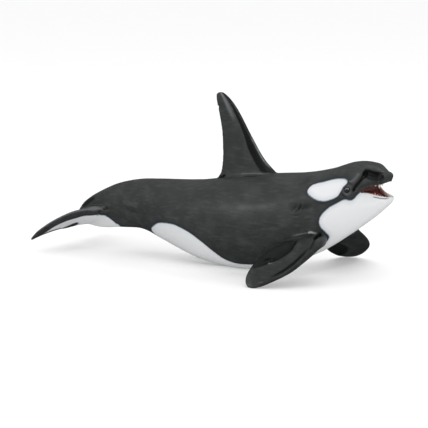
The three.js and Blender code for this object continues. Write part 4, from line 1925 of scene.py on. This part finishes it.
@dataclass(frozen=True)
class FigurePaint:
    """Satin paint in black and white with softly sprayed edges, and red inside the mouth.

    Painted shade darkens the black low on the figure and the white on the tail. Dry-brushed grain shows as
    worn black, and the same worn colour lies on ridges as a painted highlight, brightest on the highest ones.
    Painted shade darkens the hollows of the black and the creases of the white, the red deeper in the mouth,
    and the gap behind the lower lip and the front of the mouth's floor. edge and cool lie along the markings'
    borders. Grain sizes are millimetres, spray is half the width of a border and wander how far it strays.
    """

    black: Colour = (0.0318, 0.0336, 0.0328)
    wear_and_highlight: Colour = (0.11, 0.114, 0.118)
    ridge_highlight: Colour = (0.24, 0.245, 0.25)
    sunk: Colour = (0.004, 0.0045, 0.005)
    edge: Colour = (0.016, 0.024, 0.029)
    shaded_low_black: Colour = (0.025, 0.0265, 0.026)
    white: Colour = (0.7, 0.705, 0.71)
    shaded_tail_white: Colour = (0.6, 0.605, 0.61)
    white_crease_shade: Colour = (0.2, 0.2, 0.19)
    cool: Colour = (0.53, 0.575, 0.62)
    red: Colour = (0.45, 0.24, 0.22)
    shaded_red: Colour = (0.25, 0.115, 0.1)
    gap_shade: Colour = (0.016, 0.014, 0.012)
    spray: float = 0.4
    wander: float = 0.35
    fine: float = 1.1
    dapple: float = 7.0
    brushed: Point = (0.16, 1.0, 1.0)
    roughness: float = 0.4
    duller: float = 0.06
    glossier: float = 0.05
    gloss_grain: float = 4.0
    ridge_gloss: float = 0.16
    pore: float = 0.5
    pull: float = 2.2
    pulled: Point = (0.4, 1.0, 1.0)
    pull_height: float = 1.6
    depth: float = 0.03
    ior: float = 1.37

    def material(self) -> bpy.types.Material:
        """Makes the paint.

        Returns:
            The material, which follows the numbers that the skin keeps.
        """
        n = Nodes(bpy.data.materials.new("figure_paint"))
        # relief carries the skin's painted light: painted shade in hollows and painted highlights on ridges.
        field, relief = n.attribute("white"), n.attribute("relief")
        mouth, line = n.attribute("mouth"), n.attribute("line")
        stray = n.maths("MULTIPLY_ADD", n.grain(self.fine), self.wander, -self.wander / 2)
        field = n.maths("ADD", field, stray)
        black = n.coat(
            self.shaded_low_black,
            # Painted shade: the black is darker towards the floor.
            Coat(n.axis("Z"), Ramp(0.008, 0.04), self.black),
            Coat(n.grain(self.dapple), Ramp(0.35, 0.75), self.wear_and_highlight, 0.14),
            Coat(n.grain(self.fine, 4.0, self.brushed), Ramp(0.48, 0.75), self.wear_and_highlight, 0.2),
            # Painted highlights on ridges, brightest on the highest ones, and painted shade in hollows.
            Coat(relief, Ramp(0.04, 0.8), self.wear_and_highlight, 0.9),
            Coat(relief, Ramp(0.8, 1.5), self.ridge_highlight),
            Coat(relief, Ramp(-0.04, -0.9), self.sunk),
            Coat(field, Ramp(-2.2, -0.2), self.edge, 0.7),
        )
        white = n.coat(
            self.shaded_tail_white,
            # Painted shade: the white is duller towards the tail.
            Coat(n.axis("X"), Ramp(-0.02, 0.035), self.white),
            Coat(field, Ramp(2.2, 0.2), self.cool, 0.6),
            # Painted shade in the white's creases.
            Coat(relief, Ramp(-0.1, -0.8), self.white_crease_shade),
        )
        # Painted shade: the red is darker deeper in the mouth.
        red = n.coat(self.red, Coat(mouth, Ramp(1.3, 4.5), self.shaded_red))
        red = Coat(mouth, Ramp(0.35, 0.85), red)
        paint = n.coat(black, Coat(field, Ramp(-self.spray, self.spray), white), red)
        # Painted shade in the gap behind the lower lip and at the front of the mouth's floor.
        paint = n.blend(line, paint, self.gap_shade)
        glossy, dull = self.roughness - self.glossier, self.roughness + self.duller
        gloss = n.between(n.grain(self.gloss_grain), Ramp(0.3, 0.7), glossy, dull)
        gloss = n.maths("SUBTRACT", gloss, n.between(relief, Ramp(0.05, 0.35), 0.0, self.ridge_gloss))
        pull = n.maths("MULTIPLY", n.grain(self.pull, 4.0, self.pulled), self.pull_height)
        n.bump(n.maths("ADD", n.grain(self.pore, 2.0), pull), self.depth)
        return n.set(Base_Color=paint, Roughness=gloss, IOR=self.ior, Coat_Weight=0.1, Coat_Roughness=0.2)


@dataclass(frozen=True)
class ToothPaint:
    """Off-white paint with the mouth's red sprayed over the back teeth.

    sprayed runs over how far back a place is in millimetres, which grain moves to and fro by stain.
    """

    ivory: Colour = (0.72, 0.69, 0.62)
    pink: Colour = (0.46, 0.2, 0.17)
    sprayed: Ramp = Ramp(4.2, 7.2)
    most: float = 0.8
    grain: float = 1.6
    stain: float = 2.0
    roughness: float = 0.32

    def material(self) -> bpy.types.Material:
        """Makes the paint.

        Returns:
            The material, which follows the numbers that the teeth keep.
        """
        n = Nodes(bpy.data.materials.new("tooth_paint"))
        back = n.maths("ADD", n.attribute("back"), n.maths("MULTIPLY", n.grain(self.grain), self.stain))
        colour = n.coat(self.ivory, Coat(back, self.sprayed, self.pink, self.most))
        n.bump(n.grain(0.4, 2.0), 0.01)
        return n.set(Base_Color=colour, Roughness=self.roughness, Coat_Weight=0.3, Coat_Roughness=0.12)


@dataclass(frozen=True)
class BlotchedPaint:
    """Paint of two colours in soft blotches, with a fine roughness.

    Sizes and depth are millimetres, and sockets holds what else the surface is set to.
    """

    name: str
    colour: Colour
    other: Colour
    blotch: float
    blotched: Ramp
    grain: float
    depth: float
    sockets: tuple[tuple[str, float], ...]

    def material(self) -> bpy.types.Material:
        """Makes the paint.

        Returns:
            The material.
        """
        n = Nodes(bpy.data.materials.new(self.name))
        colour = n.coat(self.colour, Coat(n.grain(self.blotch), self.blotched, self.other))
        n.bump(n.grain(self.grain), self.depth)
        return n.set(Base_Color=colour, **dict(self.sockets))


TONGUE_PAINT = BlotchedPaint(
    "tongue_paint", colour=(0.3, 0.065, 0.055), other=(0.11, 0.016, 0.014), blotch=2.4,
    blotched=Ramp(0.3, 0.7), grain=0.7, depth=0.03,
    sockets=(("Roughness", 0.36), ("Coat_Weight", 0.2), ("Coat_Roughness", 0.15)),
)
EYE_GLOSS = BlotchedPaint(
    "eye_gloss", colour=(0.008, 0.008, 0.008), other=(0.014, 0.01, 0.008), blotch=0.9,
    blotched=Ramp(0.4, 0.7), grain=0.6, depth=0.004,
    sockets=(
        ("Roughness", 0.12), ("IOR", 2.0), ("Specular_IOR_Level", 1.0), ("Coat_Weight", 1.0),
        ("Coat_Roughness", 0.05),
    ),
)


@dataclass(frozen=True)
class FloorFinish:
    """A plain pale matt floor, lit a little from below."""

    pale: Colour = (0.665, 0.665, 0.66)
    paler: Colour = (0.675, 0.675, 0.675)
    cloud: float = 60.0
    roughness: float = 0.9
    light: Colour = (1.0, 1.0, 1.0)
    glow: float = 0.3

    def material(self) -> bpy.types.Material:
        """Makes the finish.

        Returns:
            The material.
        """
        n = Nodes(bpy.data.materials.new("pale_floor"))
        colour = n.blend(n.grain(self.cloud), self.pale, self.paler)
        return n.set(Base_Color=colour, Roughness=self.roughness, Specular_IOR_Level=0.2,
                     Emission_Color=self.light, Emission_Strength=self.glow)


def dress(piece: bpy.types.Object, material: bpy.types.Material) -> None:
    """Gives a piece its one material."""
    piece.data.materials.clear()
    piece.data.materials.append(material)


@dataclass(frozen=True)
class Softbox:
    """A square area light that hangs at an angle round the figure and looks at it.

    distance and size are metres, and glossy tells whether glossy paint mirrors it.
    """

    name: str
    azimuth: float
    elevation: float
    distance: float
    size: float
    watts: float
    glossy: bool = True

    def lamp(self) -> bpy.types.Object:
        """Makes the lamp.

        Returns:
            The lamp, which isn't hung yet.
        """
        data = bpy.data.lights.new(self.name, "AREA")
        data.size = self.size
        data.energy = self.watts
        made = bpy.data.objects.new(self.name, data)
        made.visible_glossy = self.glossy
        return made


@dataclass(frozen=True)
class Studio:
    """The camera at the photograph's angle, a pale floor, and a light tent with a few lamps.

    Azimuth 0 looks along +Y. focal is in pixels of a picture that is picture pixels wide. seen and shed are
    how bright the tent is to the camera and on matt surfaces, and low and high how bright glossy paint
    mirrors it below and above its horizon. floor_size and clip are metres.
    """

    target: Point = (-95.45, 0.0, 24.02)
    azimuth: float = 32.0
    elevation: float = 10.5
    distance: float = 750.0
    focal: float = 1537.5
    picture: float = 428.0
    sensor: float = 36.0
    clip: Flat = (0.01, 60.0)
    floor_size: float = 24.0
    seen: Colour = (1.0, 1.0, 1.0)
    shed: Colour = (1.01, 1.01, 1.02)
    low: Colour = (0.05, 0.052, 0.055)
    high: Colour = (0.27, 0.275, 0.28)
    horizon: Ramp = Ramp(-0.35, 0.8)
    boxes: tuple[Softbox, ...] = (
        Softbox("overhead", 20.0, 80.0, 1.1, 0.9, 1.6),
        Softbox("front_fill", 12.0, 12.0, 1.3, 1.4, 1.8, glossy=False),
        Softbox("left_lamp", -36.0, 24.0, 1.0, 0.16, 0.8),
        Softbox("right_lamp", 124.0, 45.0, 1.0, 0.2, 1.2),
    )

    def aim(
        self, thing: bpy.types.Object, target: Vector, azimuth: float, elevation: float, distance: float
    ) -> None:
        """Adds a camera or lamp to the scene, in its place round a target and turned to look there.

        Args:
            thing: The camera or lamp.
            target: The place that it looks at.
            azimuth: Its angle round the figure.
            elevation: Its angle over the floor.
            distance: How far it is from the target.
        """
        bpy.context.scene.collection.objects.link(thing)
        a, e = math.radians(azimuth), math.radians(elevation)
        back = Vector((math.sin(a) * math.cos(e), -math.cos(a) * math.cos(e), math.sin(e)))
        thing.location = target + back * distance
        thing.rotation_euler = back.to_track_quat("Z", "Y").to_euler()

    def camera(self, place: Placement) -> None:
        """Makes the camera.

        Args:
            place: Where the drawing lies in the frame.
        """
        data = bpy.data.cameras.new("camera")
        data.sensor_width = self.sensor
        data.lens = self.focal / self.picture * self.sensor
        data.clip_start, data.clip_end = self.clip
        camera = bpy.data.objects.new("camera", data)
        self.aim(camera, place.vector(self.target), self.azimuth, self.elevation, self.distance * MM)
        bpy.context.scene.camera = camera

    def light(self, place: Placement) -> None:
        """Hangs the lamps and puts the tent round the scene.

        Args:
            place: Where the drawing lies in the frame.
        """
        for box in self.boxes:
            self.aim(box.lamp(), place.vector(self.target), box.azimuth, box.elevation, box.distance)
        self.tent()
        bpy.context.scene.view_settings.view_transform = "Standard"

    def tent(self) -> None:
        """Makes the even light all round, plain white behind the scene and dim in glossy paint."""
        n = Nodes(bpy.data.worlds.new("tent"))
        ray = n.add("ShaderNodeLightPath").outputs
        mirrored = n.blend(n.between(n.axis("Z", "Generated"), self.horizon), self.low, self.high)
        colour = n.blend(ray["Is Glossy Ray"], self.shed, mirrored)
        bpy.context.scene.world = n.set(Color=n.blend(ray["Is Camera Ray"], colour, self.seen))

    def floor(self) -> None:
        """Makes the floor, at the level that the figure rests on."""
        half = self.floor_size / 2
        corners = [(-half, -half, 0), (half, -half, 0), (half, half, 0), (-half, half, 0)]
        made = mesh_object("floor", np.array(corners), [[0, 1, 2, 3]])
        made.visible_glossy = False
        dress(made, FloorFinish().material())


def settle(piece: bpy.types.Object, slot: Slot, material: bpy.types.Material, *nodes: str) -> None:
    """Dresses a piece, lets it ride on the figure and hides the nodes that it stands for.

    Args:
        piece: The piece.
        slot: The record's slot that its finish belongs to. It is not used.
        material: Its finish.
        nodes: The nodes that it replaces.
    """
    dress(piece, material)
    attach(piece, "root")
    if nodes:
        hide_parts(*nodes)
    LOG.info("%s: %d faces", piece.name, len(piece.data.polygons))


def main() -> None:
    """Builds the studio and the figure's pieces in order."""
    place = Placement(Eye().at)
    studio = Studio()
    studio.camera(place)
    studio.light(place)
    studio.floor()

    body = Body()
    flesh = ("head", "lower_jaw", "torso", "tail_stock", "dorsal_fin", "flipper_right", "flipper_left",
             "fluke_right", "fluke_left")
    settle(Skin().build(body, DorsalFin(), place), Slot.BLACK, FigurePaint().material(), *flesh)

    surface = body.surface()
    tooth_paint = ToothPaint().material()
    for teeth in (UPPER_TEETH, LOWER_TEETH):
        settle(teeth.build(surface, body.mouth, place), Slot.WHITE, tooth_paint)
    settle(Tongue().build(place), Slot.RED, TONGUE_PAINT.material(), "tongue")
    gloss = EYE_GLOSS.material()
    for side in Side:
        settle(Eye().build(side, place), Slot.EYE, gloss, f"eye_{side.name.lower()}")


if __name__ == "__main__":
    logging.basicConfig(level=logging.INFO)
    main()
